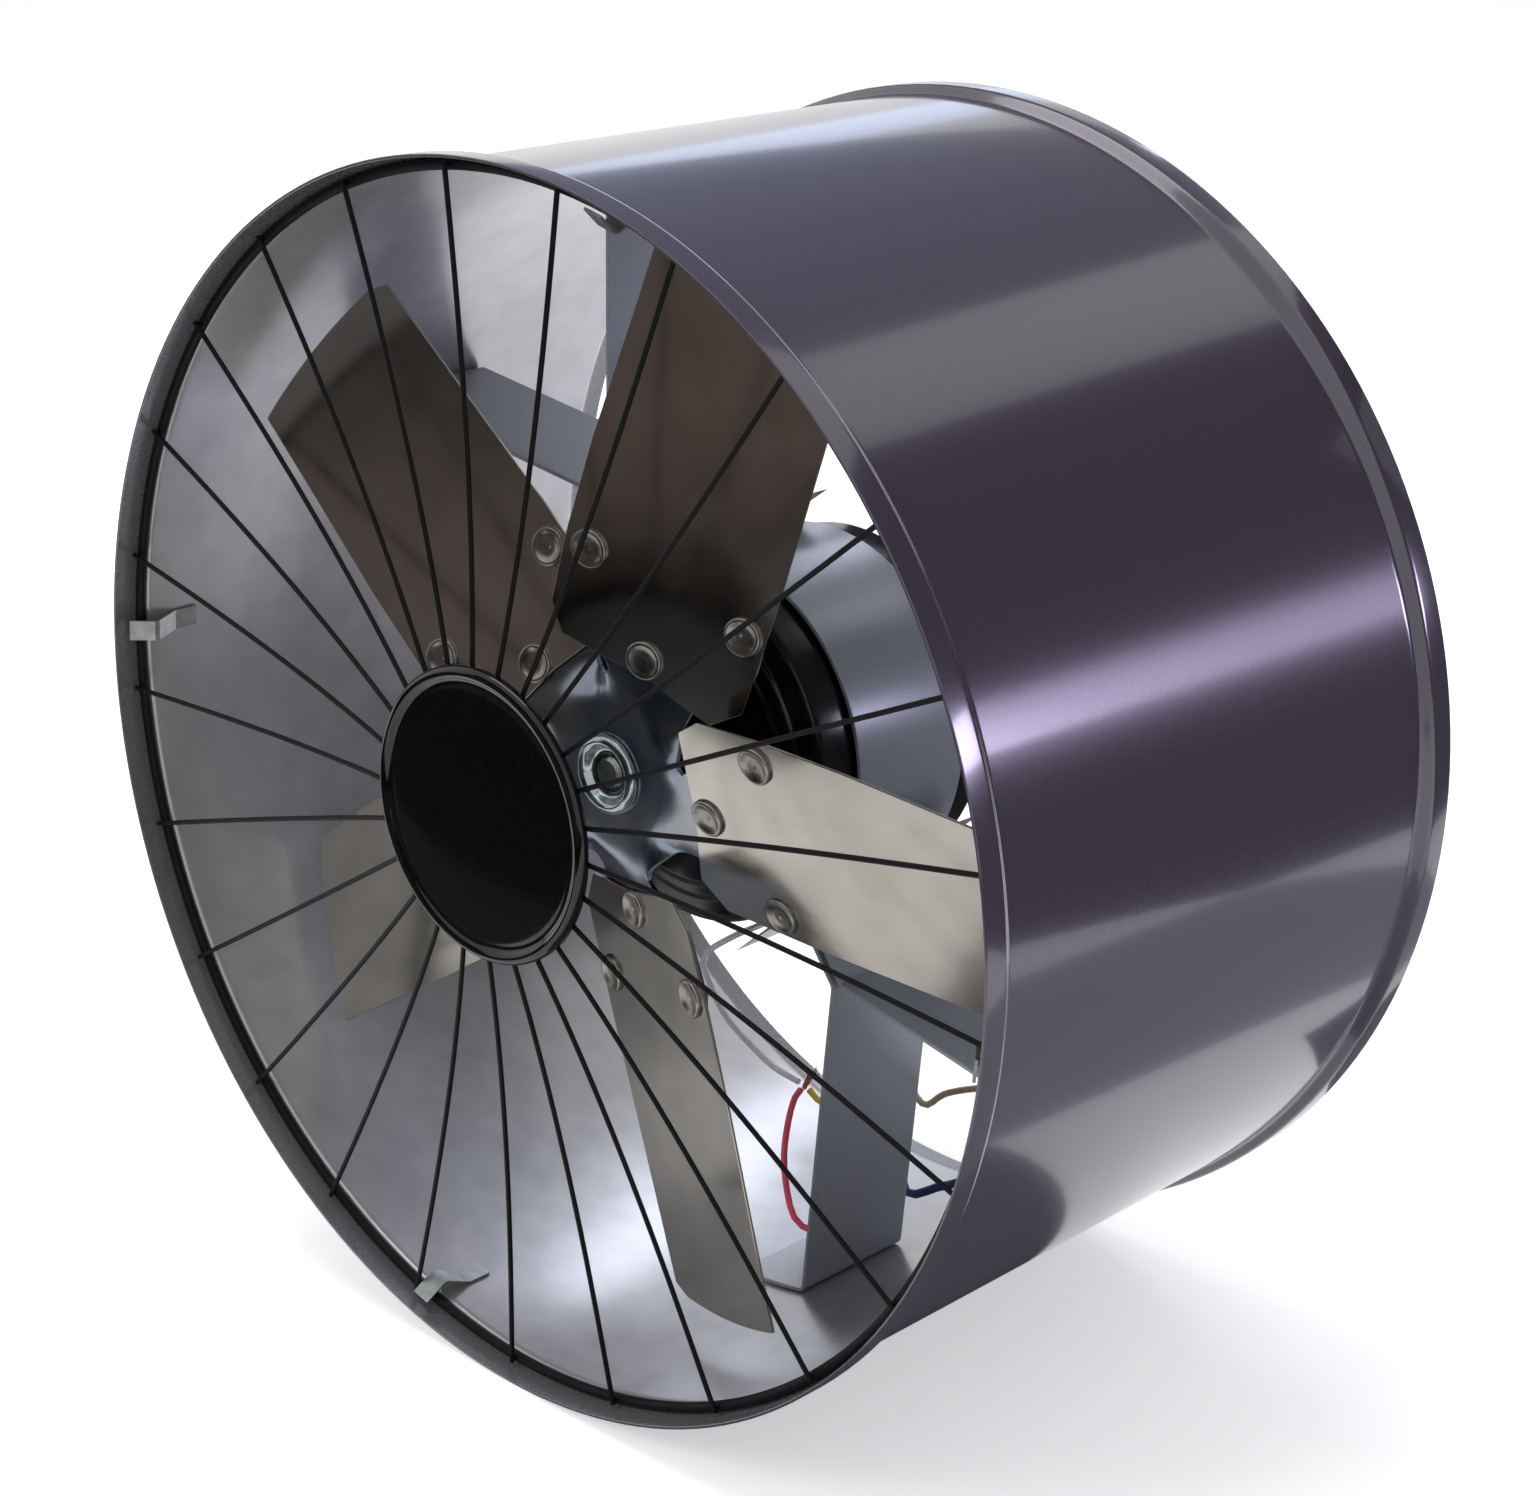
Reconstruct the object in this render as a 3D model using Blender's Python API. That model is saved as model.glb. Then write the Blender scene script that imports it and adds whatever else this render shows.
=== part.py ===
# Axial exhaust fan for a round wall or duct opening: a rolled sheet drum with a wire guard in
# front, a five-blade impeller on an induction motor, and two bent straps that hold the motor.
# Metres. The origin is on the fan's axis in the plane of the front rim; +Y runs to the rear,
# +Z is up. Angles around the axis are in degrees from +X towards +Z, as seen from the front.

import math

import bmesh
import bpy
from mathutils import Matrix, Vector

# Seating gap between neighbouring pieces, and how far a cutter runs past what it cuts
GAP = 0.0003
CUT_OVERRUN = 0.0040

# Drum: a sheet tube that steps out to a wider collar at each end
DRUM_DEPTH = 0.2260
DRUM_RADIUS = 0.2005
DRUM_SHEET = 0.0010
COLLAR_RISE = 0.0035
COLLAR_WIDTH = 0.0092
COLLAR_STEP = 0.0034
DRUM_SIDES = 72

# Guard: a ring wire with a fan of thin wires welded across its front
RING_WIRE = 0.0018
RING_CLEARANCE = 0.0012
RING_SIDES = 64
SPOKE_COUNT = 25
SPOKE_START_ANGLE = 95.61
SPOKE_WIRE = 0.0010
SPOKE_WELD_SINK = 0.0005
SPOKE_INNER_RADIUS = 0.0150
SPOKE_OVERHANG = 0.0012
SPOKE_BOW = 0.0083
SPOKE_CURVE_POWER = 2.5
SPOKE_STATION_SHARES = (1.0, 0.66, 0.33, 0.0)
WIRE_SIDES = 6

# Cap over the wires' inner ends, drawn onto a plate behind them by its own stud
CAP_RADIUS = 0.0486
CAP_HEIGHT = 0.0034
CAP_FACE_SHARES = (
    (0.0, 0.706), (0.617, 0.647), (0.889, 0.500), (0.918, 0.824), (0.951, 1.0), (0.984, 0.824),
    (1.0, 0.412), (1.0, 0.0),
)
CAP_BACK_SHARES = ((0.975, 0.0), (0.975, 0.235), (0.875, 0.147))
CAP_BACK_CENTRE_SHARE = 0.324
CAP_STUD_RADIUS = 0.0025
CAP_STUD_PROUD = 0.0015
CAP_NUT_CORNER = 0.0046
CAP_NUT_HEIGHT = 0.0040
HUB_PLATE_RADIUS = 0.0400
HUB_PLATE_SHEET = 0.0012
CAP_SIDES = 36

# Four spring clips inside the drum hook over the ring wire. Each is placed from a guard wire:
# the wire's number, and the free space beside it as a share of the spacing between wires.
CLIP_PLACE_SHARES = ((1, -0.270), (7, -0.048), (14, 0.012), (19, -0.360))
CLIP_WIDTH = 0.0072
CLIP_SHEET = 0.0009
CLIP_FOOT_LENGTH = 0.0090
CLIP_JOGGLE_LENGTH = 0.0105
CLIP_JOGGLE_DROP = 0.0051
CLIP_RIDGE_LENGTH = 0.0017
CLIP_RIDGE_BEHIND_RING = 0.0016
CLIP_HOOK_RISE = 0.0056
CLIP_HOOK_LENGTH = 0.0067

# Impeller: five flat sheet blades riveted to the front of a pressed spider
BLADE_ANGLES = (73.86, 1.86, -70.14, -142.14, 145.86)
BLADE_PLANE = 0.0495
BLADE_PITCH = 16.43
BLADE_SHEET = 0.0010
BLADE_TIP_CLEARANCE = 0.0105
BLADE_WIDTH = 0.0780
BLADE_TIP_ARC = (4.0, 0.0, -4.0, -8.0, -11.5)
BLADE_LEADING_SHARES = ((0.593, 0.359), (0.799, 0.295), (0.979, 0.237))
BLADE_TRAILING_SHARES = ((0.939, -0.641), (0.667, -0.609))
# The blade's foot and its rivets keep to the spider's arm, as shares of the spider's reach
BLADE_FOOT_TRAILING_SHARES = (
    (0.9321, -0.5150), (0.4661, -0.4662), (0.3823, -0.3634), (0.3630, -0.2783), (0.3973, -0.0798),
)
BLADE_FOOT_LEADING_SHARES = (
    (0.4553, 0.1250), (0.4983, 0.2898), (0.5906, 0.3475), (0.8806, 0.3519),
)
RIVET_PLACE_SHARES = ((0.5176, -0.0558), (0.8484, 0.2473), (0.7753, -0.4122))
RIVET_SHANK = 0.0020
RIVET_HEAD = 0.0060
RIVET_HEAD_HEIGHT = 0.0022
RIVET_HEAD_SHARES = ((1.0, 0.0), (0.88, 1.0), (0.45, 0.55))
RIVET_TAIL = 0.0036
RIVET_TAIL_HEIGHT = 0.0015
RIVET_TAIL_CROWN_SHARE = 0.80
RIVET_SIDES = 8

SPIDER_SHEET = 0.0020
SPIDER_REACH = 0.0880
SPIDER_TWIST_START = 0.0240
SPIDER_TWIST_END = 0.0350
SPIDER_NOTCH_RADIUS = 0.0350
SPIDER_RELIEF_DEPTH = 0.0035
SPIDER_RELIEF_ANGLES = (19.4, 27.6)
SPIDER_ROOT_ANGLES = (12.0, -37.0)
SPIDER_ARM_SHARES = (
    (0.075, 18.0, -39.0), (0.170, 22.7, -43.0), (0.472, 26.7, -40.5), (0.849, 20.0, -30.4),
    (1.000, 14.5, -23.3),
)
SPIDER_ARM_STEPS = 3

# Hub boss: a neck through the spider with a swaged bead in front and a flange behind
BOSS_NECK_RADIUS = 0.0096
BOSS_BEAD_RADIUS = 0.0135
BOSS_BEAD_HEIGHT = 0.0028
BOSS_BEAD_SHARES = (
    (0.98, 0.0), (1.0, 0.36), (0.93, 0.80), (0.815, 1.0), (0.68, 0.71), (0.63, 0.07),
)
BOSS_FLANGE_RADIUS = 0.0170
BOSS_FLANGE_THICKNESS = 0.0052
BOSS_BARREL_RADIUS = 0.0150
BOSS_BARREL_LENGTH = 0.0182809
BOSS_MOTOR_CLEARANCE = 0.0028
BOSS_CHAMFER = 0.0012
SET_SCREW_ANGLE = 30.0
SET_SCREW_RADIUS = 0.0028
SET_SCREW_LENGTH = 0.0080
SET_SCREW_SOCKET_SHARE = 0.57
SET_SCREW_SOCKET_DEPTH = 0.0030

# Motor: stator core between two bells outside, rotor core on the shaft inside
CORE_LENGTH = 0.0466
CORE_RADIUS = 0.0625
CORE_BORE = 0.0345
WINDING_BORE_MARGIN = 0.0035
WINDING_RIM_MARGIN = 0.0125
WINDING_HEIGHT = 0.0098
SLOT_COUNT = 8
SLOT_BAR_SHARE = 0.25
BELL_STEP = 0.0015
BELL_DEPTH = 0.0237
BELL_WALL = 0.0030
BELL_PROFILE_SHARES = (
    (1.0, 0.0), (1.0, 0.620), (0.984, 0.684), (0.951, 0.705), (0.861, 0.722), (0.844, 0.781),
    (0.828, 0.797), (0.770, 0.814), (0.746, 0.865), (0.393, 0.873), (0.328, 0.937), (0.295, 1.0),
)
BELL_BAND_POINT = 4
BELL_FACE_POINT = 9
BELL_INNER_POINTS = (8, 7, 4, 2, 1)
BUSH_RADIUS = 0.0090
BUSH_LENGTH = 0.0140
BUSH_INSET = 0.0010
BUSH_SEAT_WALL = 0.0040
MOTOR_SIDES = 32
THROUGH_BOLT_ANGLES = (80.0, 200.0, -40.0)
THROUGH_BOLT_PLACE_SHARE = 0.9115
THROUGH_BOLT_RADIUS = 0.0015
THROUGH_BOLT_HEAD = 0.0029
THROUGH_BOLT_HEAD_HEIGHT = 0.0022
THROUGH_BOLT_PROUD = 0.0014
BOLT_CROWN_SHARE = 0.80
HOLE_CLEARANCE = 0.0004
HOLE_SIDES = 8

SHAFT_RADIUS = 0.0060
SHAFT_SHOULDER_RISE = 0.0015
SHAFT_RECESS = 0.0020
SHAFT_CHAMFER = 0.0013
RUNNING_CLEARANCE = 0.00008
ROTOR_AIR_GAP = 0.0005
ROTOR_RING_INSET = 0.0010
ROTOR_RING_WIDTH = 0.0110
ROTOR_RING_HEIGHT = 0.0060
ROTOR_SIDES = 20

# Straps: two bent half clamps around the stator core, each with two arms out to the drum
STRAP_SHEET = 0.0015
STRAP_OVERHANG = 0.0018
STRAP_CORE_GAP = 0.0005
CLAMP_ANGLES = (-54.3, 127.0)
CLAMP_FLANGE_LENGTH = 0.0275
CLAMP_SPACING = 0.0023
UPPER_FEET = (-29.9, 105.0)
LOWER_FEET = (-78.7, 153.0)
FLAP_LENGTH = 0.0300
FLAP_CORNER = 0.0080
FLAP_CORNER_SHARES = (0.0, 0.15, 0.5, 1.0)
STRAP_BEND = 0.0028
BEND_STEPS = 3
BAND_STEPS = 22
CLAMP_BOLT_OFFSET = 0.0155
CLAMP_BOLT_EDGE = 0.0115
CLAMP_BOLT_RADIUS = 0.0025
CLAMP_HEAD_CORNER = 0.0046
CLAMP_HEAD_HEIGHT = 0.0035
CLAMP_NUT_HEIGHT = 0.0040
CLAMP_BOLT_PROUD = 0.0015
HEX_STEPS = 12

# Grommet in the rear bell's skirt; the five leads leave it in a ring
GROMMET_ANGLE = -100.0
GROMMET_NECK = 0.0042
GROMMET_FLANGE = 0.0060
GROMMET_FLANGE_SHEET = 0.0014
GROMMET_NOSE = 0.0046
GROMMET_NOSE_LENGTH = 0.0037
GROMMET_LIP = 0.0007
GROMMET_SIDES = 12
LEAD_CLEARANCE = 0.000374
LEAD_STRAIGHT = 0.0020
LEAD_RADIUS = 0.0012
THICK_LEAD_RADIUS = 0.0016
LEAD_POINT_SPACING = 0.0072
SPLICE_RADIUS = 0.0025

# Routes of the free leads: each one's place on the grommet's ring in degrees, then the points
# that it passes down to its far end, measured from the grommet's mouth outwards, to the rear
# and sideways, as shares of the room between that mouth and the drum
LEAD_ROUTE_SHARES = {
    "lead_white": (198.0, (
        (0.0823, -0.0056, -0.0193), (0.2018, -0.0094, -0.0900), (0.3243, -0.0245, -0.2213),
        (0.4179, -0.0470, -0.2965), (0.4757, -0.0546, -0.2558), (0.5468, -0.0546, -0.1820),
        (0.5878, -0.0546, -0.0678), (0.6055, -0.0583, 0.0271), (0.5945, -0.0674, 0.1284),
    )),
    "lead_red": (-18.0, (
        (0.0644, -0.0019, 0.0387), (0.1503, 0.0057, 0.1151), (0.2275, 0.0057, 0.1975),
        (0.3357, -0.0094, 0.2777), (0.4736, -0.0395, 0.3632), (0.6202, -0.0772, 0.4426),
        (0.7449, -0.1223, 0.4722), (0.8330, -0.1675, 0.4495), (0.8876, -0.2052, 0.3789),
        (0.8701, -0.2293, 0.3261), (0.8247, -0.2202, 0.2799), (0.7410, -0.2052, 0.2345),
        (0.6614, -0.1826, 0.2090), (0.6103, -0.1299, 0.1732), (0.5968, -0.0900, 0.1586),
    )),
    "lead_earth": (-90.0, (
        (0.0744, -0.0169, 0.0252), (0.2048, -0.0094, 0.1094), (0.2921, -0.0019, 0.1783),
        (0.3894, -0.0094, 0.2337), (0.4893, -0.0320, 0.2742), (0.5647, -0.0546, 0.2799),
        (0.6097, -0.0696, 0.2419), (0.6080, -0.0696, 0.1996), (0.5967, -0.0696, 0.1724),
    )),
    "lead_brown": (54.0, (
        (0.0718, 0.0283, 0.0401), (0.1652, 0.0584, 0.1177), (0.3152, 0.0810, 0.2206),
        (0.4492, 0.0810, 0.3283), (0.5089, 0.0584, 0.4230), (0.5033, 0.0283, 0.4984),
        (0.4221, 0.0057, 0.5683), (0.3426, -0.0094, 0.6727), (0.2972, -0.0169, 0.7565),
        (0.2848, -0.0320, 0.8269),
    )),
    "lead_blue": (126.0, (
        (0.0796, 0.0283, -0.0044), (0.2127, 0.0810, 0.0649), (0.3676, 0.1036, 0.1840),
        (0.5299, 0.0960, 0.3043), (0.7231, 0.0509, 0.4225), (0.7820, 0.0245, 0.4788),
        (0.7792, 0.0207, 0.5165), (0.7315, 0.0509, 0.5746), (0.7162, 0.0810, 0.6048),
        (0.6664, 0.1111, 0.6572),
    )),
}
SPLICE_ROUTE_SHARES = (
    (0.5960, -0.0689, 0.1462), (0.5862, -0.0696, 0.1537), (0.5708, -0.0719, 0.1632),
    (0.5469, -0.0764, 0.1773), (0.5229, -0.0809, 0.1922),
)
SPLICE_SWELL_SHARES = (0.60, 1.0, 0.84, 0.56, 0.32)

# Sizes that follow from the ones above
RIM_RADIUS = DRUM_RADIUS + COLLAR_RISE
DRUM_BORE = DRUM_RADIUS - DRUM_SHEET
RING_RADIUS = RIM_RADIUS - DRUM_SHEET - RING_CLEARANCE - RING_WIRE
BLADE_TIP_RADIUS = DRUM_BORE - BLADE_TIP_CLEARANCE
BLADE_TILT = math.radians(BLADE_PITCH)
SPIDER_DEPTH = SPIDER_SHEET / math.cos(BLADE_TILT)
SPIDER_PLANE = BLADE_PLANE + (BLADE_SHEET / 2 + GAP + SPIDER_SHEET / 2) / math.cos(BLADE_TILT)
BOSS_BEAD_BACK = SPIDER_PLANE - SPIDER_DEPTH / 2 - GAP
BOSS_FLANGE_BACK = SPIDER_PLANE + SPIDER_DEPTH / 2 + GAP + BOSS_FLANGE_THICKNESS
BELL_FRONT = BOSS_FLANGE_BACK + BOSS_BARREL_LENGTH + BOSS_MOTOR_CLEARANCE
CORE_FRONT = BELL_FRONT + BELL_DEPTH + GAP
CORE_REAR = CORE_FRONT + CORE_LENGTH
STRAP_FRONT = CORE_FRONT - STRAP_OVERHANG
STRAP_REAR = CORE_REAR + STRAP_OVERHANG
BELL_RADIUS = CORE_RADIUS - BELL_STEP
THROUGH_BOLT_PLACE = BELL_RADIUS * THROUGH_BOLT_PLACE_SHARE
WINDING_INNER = CORE_BORE + WINDING_BORE_MARGIN
WINDING_OUTER = CORE_RADIUS - WINDING_RIM_MARGIN
SLOT_BAR_RADIUS = (WINDING_OUTER - WINDING_INNER) * SLOT_BAR_SHARE
STRAP_BAND_RADIUS = CORE_RADIUS + STRAP_CORE_GAP + STRAP_SHEET
CLAMP_REACH = STRAP_BAND_RADIUS + CLAMP_FLANGE_LENGTH
CLAMP_BOLT_PLACE = STRAP_BAND_RADIUS + CLAMP_BOLT_OFFSET
GROMMET_DEPTH = CORE_REAR + GAP + BELL_DEPTH * BELL_PROFILE_SHARES[1][1] / 2
GROMMET_INNER_FLANGE = GROMMET_NECK + GROMMET_LIP
GROMMET_MOUTH = BELL_RADIUS + GAP + GROMMET_FLANGE_SHEET + GROMMET_NOSE_LENGTH + GAP
LEAD_ROOM = DRUM_BORE - GROMMET_MOUTH
LEAD_PITCH = THICK_LEAD_RADIUS + LEAD_RADIUS + LEAD_CLEARANCE
LEAD_RING_RADIUS = LEAD_PITCH / (2 * math.sin(math.pi / len(LEAD_ROUTE_SHARES)))

# Own Z turned onto the fan's axis, and a front view (own X right, own Y up) stood upright
ALONG_AXIS = Matrix.Rotation(-math.pi / 2, 4, "X")
FRONT_VIEW = Matrix.Rotation(math.pi / 2, 4, "X")
# A plan in X and Z, with the strip's width along Y
STRAP_VIEW = Matrix((
    (1.0, 0.0, 0.0, 0.0), (0.0, 0.0, 1.0, 0.0), (0.0, 1.0, 0.0, 0.0), (0.0, 0.0, 0.0, 1.0),
))


# Objects and materials

def clear_scene():
    for item in list(bpy.data.objects):
        bpy.data.objects.remove(item, do_unlink=True)


def make_material(name, colour, roughness, metallic):
    material = bpy.data.materials.new(name)
    material.use_nodes = True
    surface = material.node_tree.nodes["Principled BSDF"]
    surface.inputs["Base Color"].default_value = (*colour, 1.0)
    surface.inputs["Roughness"].default_value = roughness
    surface.inputs["Metallic"].default_value = metallic
    return material


def place(name, data, parent=None, frame=None):
    item = bpy.data.objects.new(name, data)
    bpy.context.collection.objects.link(item)
    item.parent = parent
    if frame:
        item.matrix_local = frame
    return item


def mesh_from(shape, name, material=None, smooth_angle=35.0):
    bmesh.ops.recalc_face_normals(shape, faces=shape.faces[:])
    mesh = bpy.data.meshes.new(name)
    shape.to_mesh(mesh)
    shape.free()
    mesh.shade_smooth()
    mesh.set_sharp_from_angle(angle=math.radians(smooth_angle))
    if material:
        mesh.materials.append(material)
    return mesh


def shape_object(name, shape, material, parent=None, frame=None, smooth_angle=35.0):
    return place(name, mesh_from(shape, name, material, smooth_angle), parent, frame)


def helper_object(name, shape):
    """A solid that only cuts or adds to another one, and is no piece of the fan itself."""
    helper = place(name, mesh_from(shape, name))
    helper.hide_render = True
    helper.display_type = "WIRE"
    return helper


def combine(item, helper, operation):
    modifier = item.modifiers.new(helper.name, "BOOLEAN")
    modifier.operation = operation
    modifier.object = helper


# Shapes

def around(radius, angle, depth):
    turn = math.radians(angle)
    return Vector((radius * math.cos(turn), depth, radius * math.sin(turn)))


def radial_frame(angle, radius=0.0, depth=0.0):
    """Own X outwards, own Y to the rear, own Z along the turning direction."""
    outwards = around(1.0, angle, 0.0)
    rearwards = Vector((0.0, 1.0, 0.0))
    frame = Matrix((outwards, rearwards, outwards.cross(rearwards))).transposed().to_4x4()
    frame.translation = around(radius, angle, depth)
    return frame


def outward_frame(angle, depth):
    """Own Z outwards from a point on the fan's axis."""
    return radial_frame(angle, 0.0, depth) @ Matrix.Rotation(math.pi / 2, 4, "Y")


def add_turned(shape, profile, sides):
    """Spin (radius, depth) points about the fan's axis; a profile off the axis is closed."""
    points = [shape.verts.new((radius, depth, 0.0)) for radius, depth in profile]
    edges = [shape.edges.new(pair) for pair in zip(points, points[1:])]
    if profile[0][0] > 0.0:
        edges.append(shape.edges.new((points[-1], points[0])))
    bmesh.ops.spin(shape, geom=points + edges, cent=(0.0, 0.0, 0.0), axis=(0.0, 1.0, 0.0),
                   dvec=(0.0, 0.0, 0.0), angle=math.tau, steps=sides, use_merge=True)
    bmesh.ops.remove_doubles(shape, verts=shape.verts[:], dist=GAP / sides)


def turned_object(name, profile, sides, material, parent=None):
    shape = bmesh.new()
    add_turned(shape, profile, sides)
    return shape_object(name, shape, material, parent)


def ring_section(inner, outer, near, far):
    return [(inner, near), (outer, near), (outer, far), (inner, far)]


def level_ring(shape, frame, height, radius, is_hexagon, sides):
    """A circle, or a hexagon with a point halfway along each flat."""
    ring = []
    for step in range(sides):
        turn = math.tau * step / sides
        reach = radius * math.cos(math.pi / 6) if is_hexagon and step % 2 else radius
        spot = Vector((reach * math.cos(turn), reach * math.sin(turn), height))
        ring.append(shape.verts.new(frame @ spot))
    return ring


def bridge(shape, low, high):
    for step in range(len(low)):
        shape.faces.new((low[step - 1], low[step], high[step], high[step - 1]))


def add_stack(shape, levels, sides, frame=Matrix(), bored=False):
    """Levels (height, radius, is_hexagon) joined end to end, then capped or joined into a ring."""
    rings = [level_ring(shape, frame, *level, sides) for level in levels]
    for low, high in zip(rings, rings[1:]):
        bridge(shape, low, high)
    if bored:
        bridge(shape, rings[-1], rings[0])
    else:
        shape.faces.new(rings[0][::-1])
        shape.faces.new(rings[-1])


def stack_mesh(name, levels, sides, material, bored=False):
    shape = bmesh.new()
    add_stack(shape, levels, sides, bored=bored)
    return mesh_from(shape, name, material)


def add_rods(shape, rods, sides):
    for frame, radius, low, high in rods:
        add_stack(shape, ((low, radius, False), (high, radius, False)), sides, frame)


def rounded(points, radius, steps):
    """Replace every sharp corner of a flat line with an arc of the given radius."""
    result = [points[0]]
    for before, corner, after in zip(points, points[1:], points[2:]):
        incoming = (corner - before).normalized()
        outgoing = (after - corner).normalized()
        turn = incoming.angle(outgoing)
        if turn < math.radians(20.0):
            result.append(corner)
            continue
        centre = corner + (outgoing - incoming).normalized() * (radius / math.cos(turn / 2))
        start = corner - incoming * (radius * math.tan(turn / 2)) - centre
        side = math.copysign(1.0, incoming.x * outgoing.y - incoming.y * outgoing.x)
        for step in range(steps + 1):
            result.append(centre + Matrix.Rotation(side * turn * step / steps, 2) @ start)
    result.append(points[-1])
    return result


def line_normals(points):
    """Mitred normals of a flat line of points."""
    steps = [(after - before).normalized() for before, after in zip(points, points[1:])]
    normals = []
    for incoming, outgoing in zip([steps[0]] + steps, steps + [steps[-1]]):
        along = (incoming + outgoing).normalized()
        normals.append(Vector((-along.y, along.x)) / along.dot(incoming))
    return normals


def add_ribbon(shape, points, thickness, edges, frame=Matrix()):
    """A bent strip: the line lies in the frame's XY plane, its width runs along Z."""
    sections = []
    for point, normal, (near, far) in zip(points, line_normals(points), edges):
        inner = point - normal * (thickness / 2)
        outer = point + normal * (thickness / 2)
        corners = ((inner, near), (outer, near), (outer, far), (inner, far))
        sections.append([shape.verts.new(frame @ Vector((*spot, level))) for spot, level in corners])
    for low, high in zip(sections, sections[1:]):
        bridge(shape, low, high)
    shape.faces.new(sections[0][::-1])
    shape.faces.new(sections[-1])


def add_wire(shape, points, radius, frame):
    """A round wire bent in the frame's XY plane."""
    rings = []
    for point, normal in zip(points, line_normals(points)):
        ring = []
        for step in range(WIRE_SIDES):
            turn = math.tau * step / WIRE_SIDES
            spot = point + normal * (radius * math.cos(turn))
            ring.append(shape.verts.new(frame @ Vector((*spot, radius * math.sin(turn)))))
        rings.append(ring)
    for low, high in zip(rings, rings[1:]):
        bridge(shape, low, high)
    shape.faces.new(rings[0][::-1])
    shape.faces.new(rings[-1])


def smooth_route(route, spacing):
    """Evenly spaced points on a smooth curve through the route's own points, and its length."""
    spots = [Vector(spot) for spot in route]
    padded = [2 * spots[0] - spots[1]] + spots + [2 * spots[-1] - spots[-2]]
    fine_steps = 24
    fine = []
    for a, b, c, d in zip(padded, padded[1:], padded[2:], padded[3:]):
        for step in range(fine_steps):
            t = step / fine_steps
            fine.append((2 * b + (c - a) * t + (2 * a - 5 * b + 4 * c - d) * t ** 2
                         + (3 * b - a - 3 * c + d) * t ** 3) / 2)
    fine.append(spots[-1])
    travelled = [0.0]
    for before, after in zip(fine, fine[1:]):
        travelled.append(travelled[-1] + (after - before).length)
    count = max(2, round(travelled[-1] / spacing))
    result = []
    index = 0
    for step in range(count + 1):
        target = travelled[-1] * step / count
        while index < len(travelled) - 2 and travelled[index + 1] < target:
            index += 1
        share = (target - travelled[index]) / (travelled[index + 1] - travelled[index])
        result.append(fine[index].lerp(fine[index + 1], share))
    return result, travelled[-1]


def lead_object(name, line, radius, material, swell=None):
    curve = bpy.data.curves.new(name, "CURVE")
    curve.dimensions = "3D"
    curve.bevel_depth = radius
    curve.bevel_resolution = 2
    curve.use_fill_caps = True
    curve.materials.append(material)
    spline = curve.splines.new("POLY")
    spline.points.add(len(line) - 1)
    for index, (point, spot) in enumerate(zip(spline.points, line)):
        point.co = (*spot, 1.0)
        point.radius = swell[index] if swell else 1.0
    return place(name, curve)


# Drum

def make_drum(paint):
    step_end = COLLAR_WIDTH + COLLAR_STEP
    bend = DRUM_SHEET / 2
    front = [(RIM_RADIUS, 0.0), (RIM_RADIUS, COLLAR_WIDTH), (DRUM_RADIUS, step_end)]
    inner_rim = RIM_RADIUS - DRUM_SHEET
    back = [(DRUM_BORE, step_end - bend), (inner_rim, COLLAR_WIDTH - bend), (inner_rim, 0.0)]
    mirrored_front = [(radius, DRUM_DEPTH - depth) for radius, depth in reversed(front)]
    mirrored_back = [(radius, DRUM_DEPTH - depth) for radius, depth in reversed(back)]
    profile = front + mirrored_front + mirrored_back + back
    turned_object("drum_casing", profile, DRUM_SIDES, paint)


# Guard

def ring_depth():
    """The ring wire rests on the slope where the collar steps in to the drum."""
    slope = math.hypot(COLLAR_RISE, COLLAR_STEP)
    start_radius = RIM_RADIUS - DRUM_SHEET
    start_depth = COLLAR_WIDTH - DRUM_SHEET / 2
    across = (start_radius - RING_RADIUS) * COLLAR_STEP / slope
    return start_depth - (RING_WIRE + GAP - across) * slope / COLLAR_RISE


def spoke_end_depth():
    return ring_depth() - RING_WIRE - SPOKE_WIRE + SPOKE_WELD_SINK


def spoke_hub_depth():
    return spoke_end_depth() - SPOKE_BOW


def spoke_angle(number):
    return SPOKE_START_ANGLE - number * 360.0 / SPOKE_COUNT


def spoke_line():
    """Outer end first: the wire bows forward from the ring, then runs flat under the cap."""
    outer_end = RING_RADIUS + SPOKE_OVERHANG
    line = []
    for share in SPOKE_STATION_SHARES:
        radius = CAP_RADIUS + (outer_end - CAP_RADIUS) * share
        bow = SPOKE_BOW * (1.0 - share) ** SPOKE_CURVE_POWER
        line.append(Vector((radius, spoke_end_depth() - bow)))
    line.append(Vector((SPOKE_INNER_RADIUS, spoke_hub_depth())))
    return line


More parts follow.
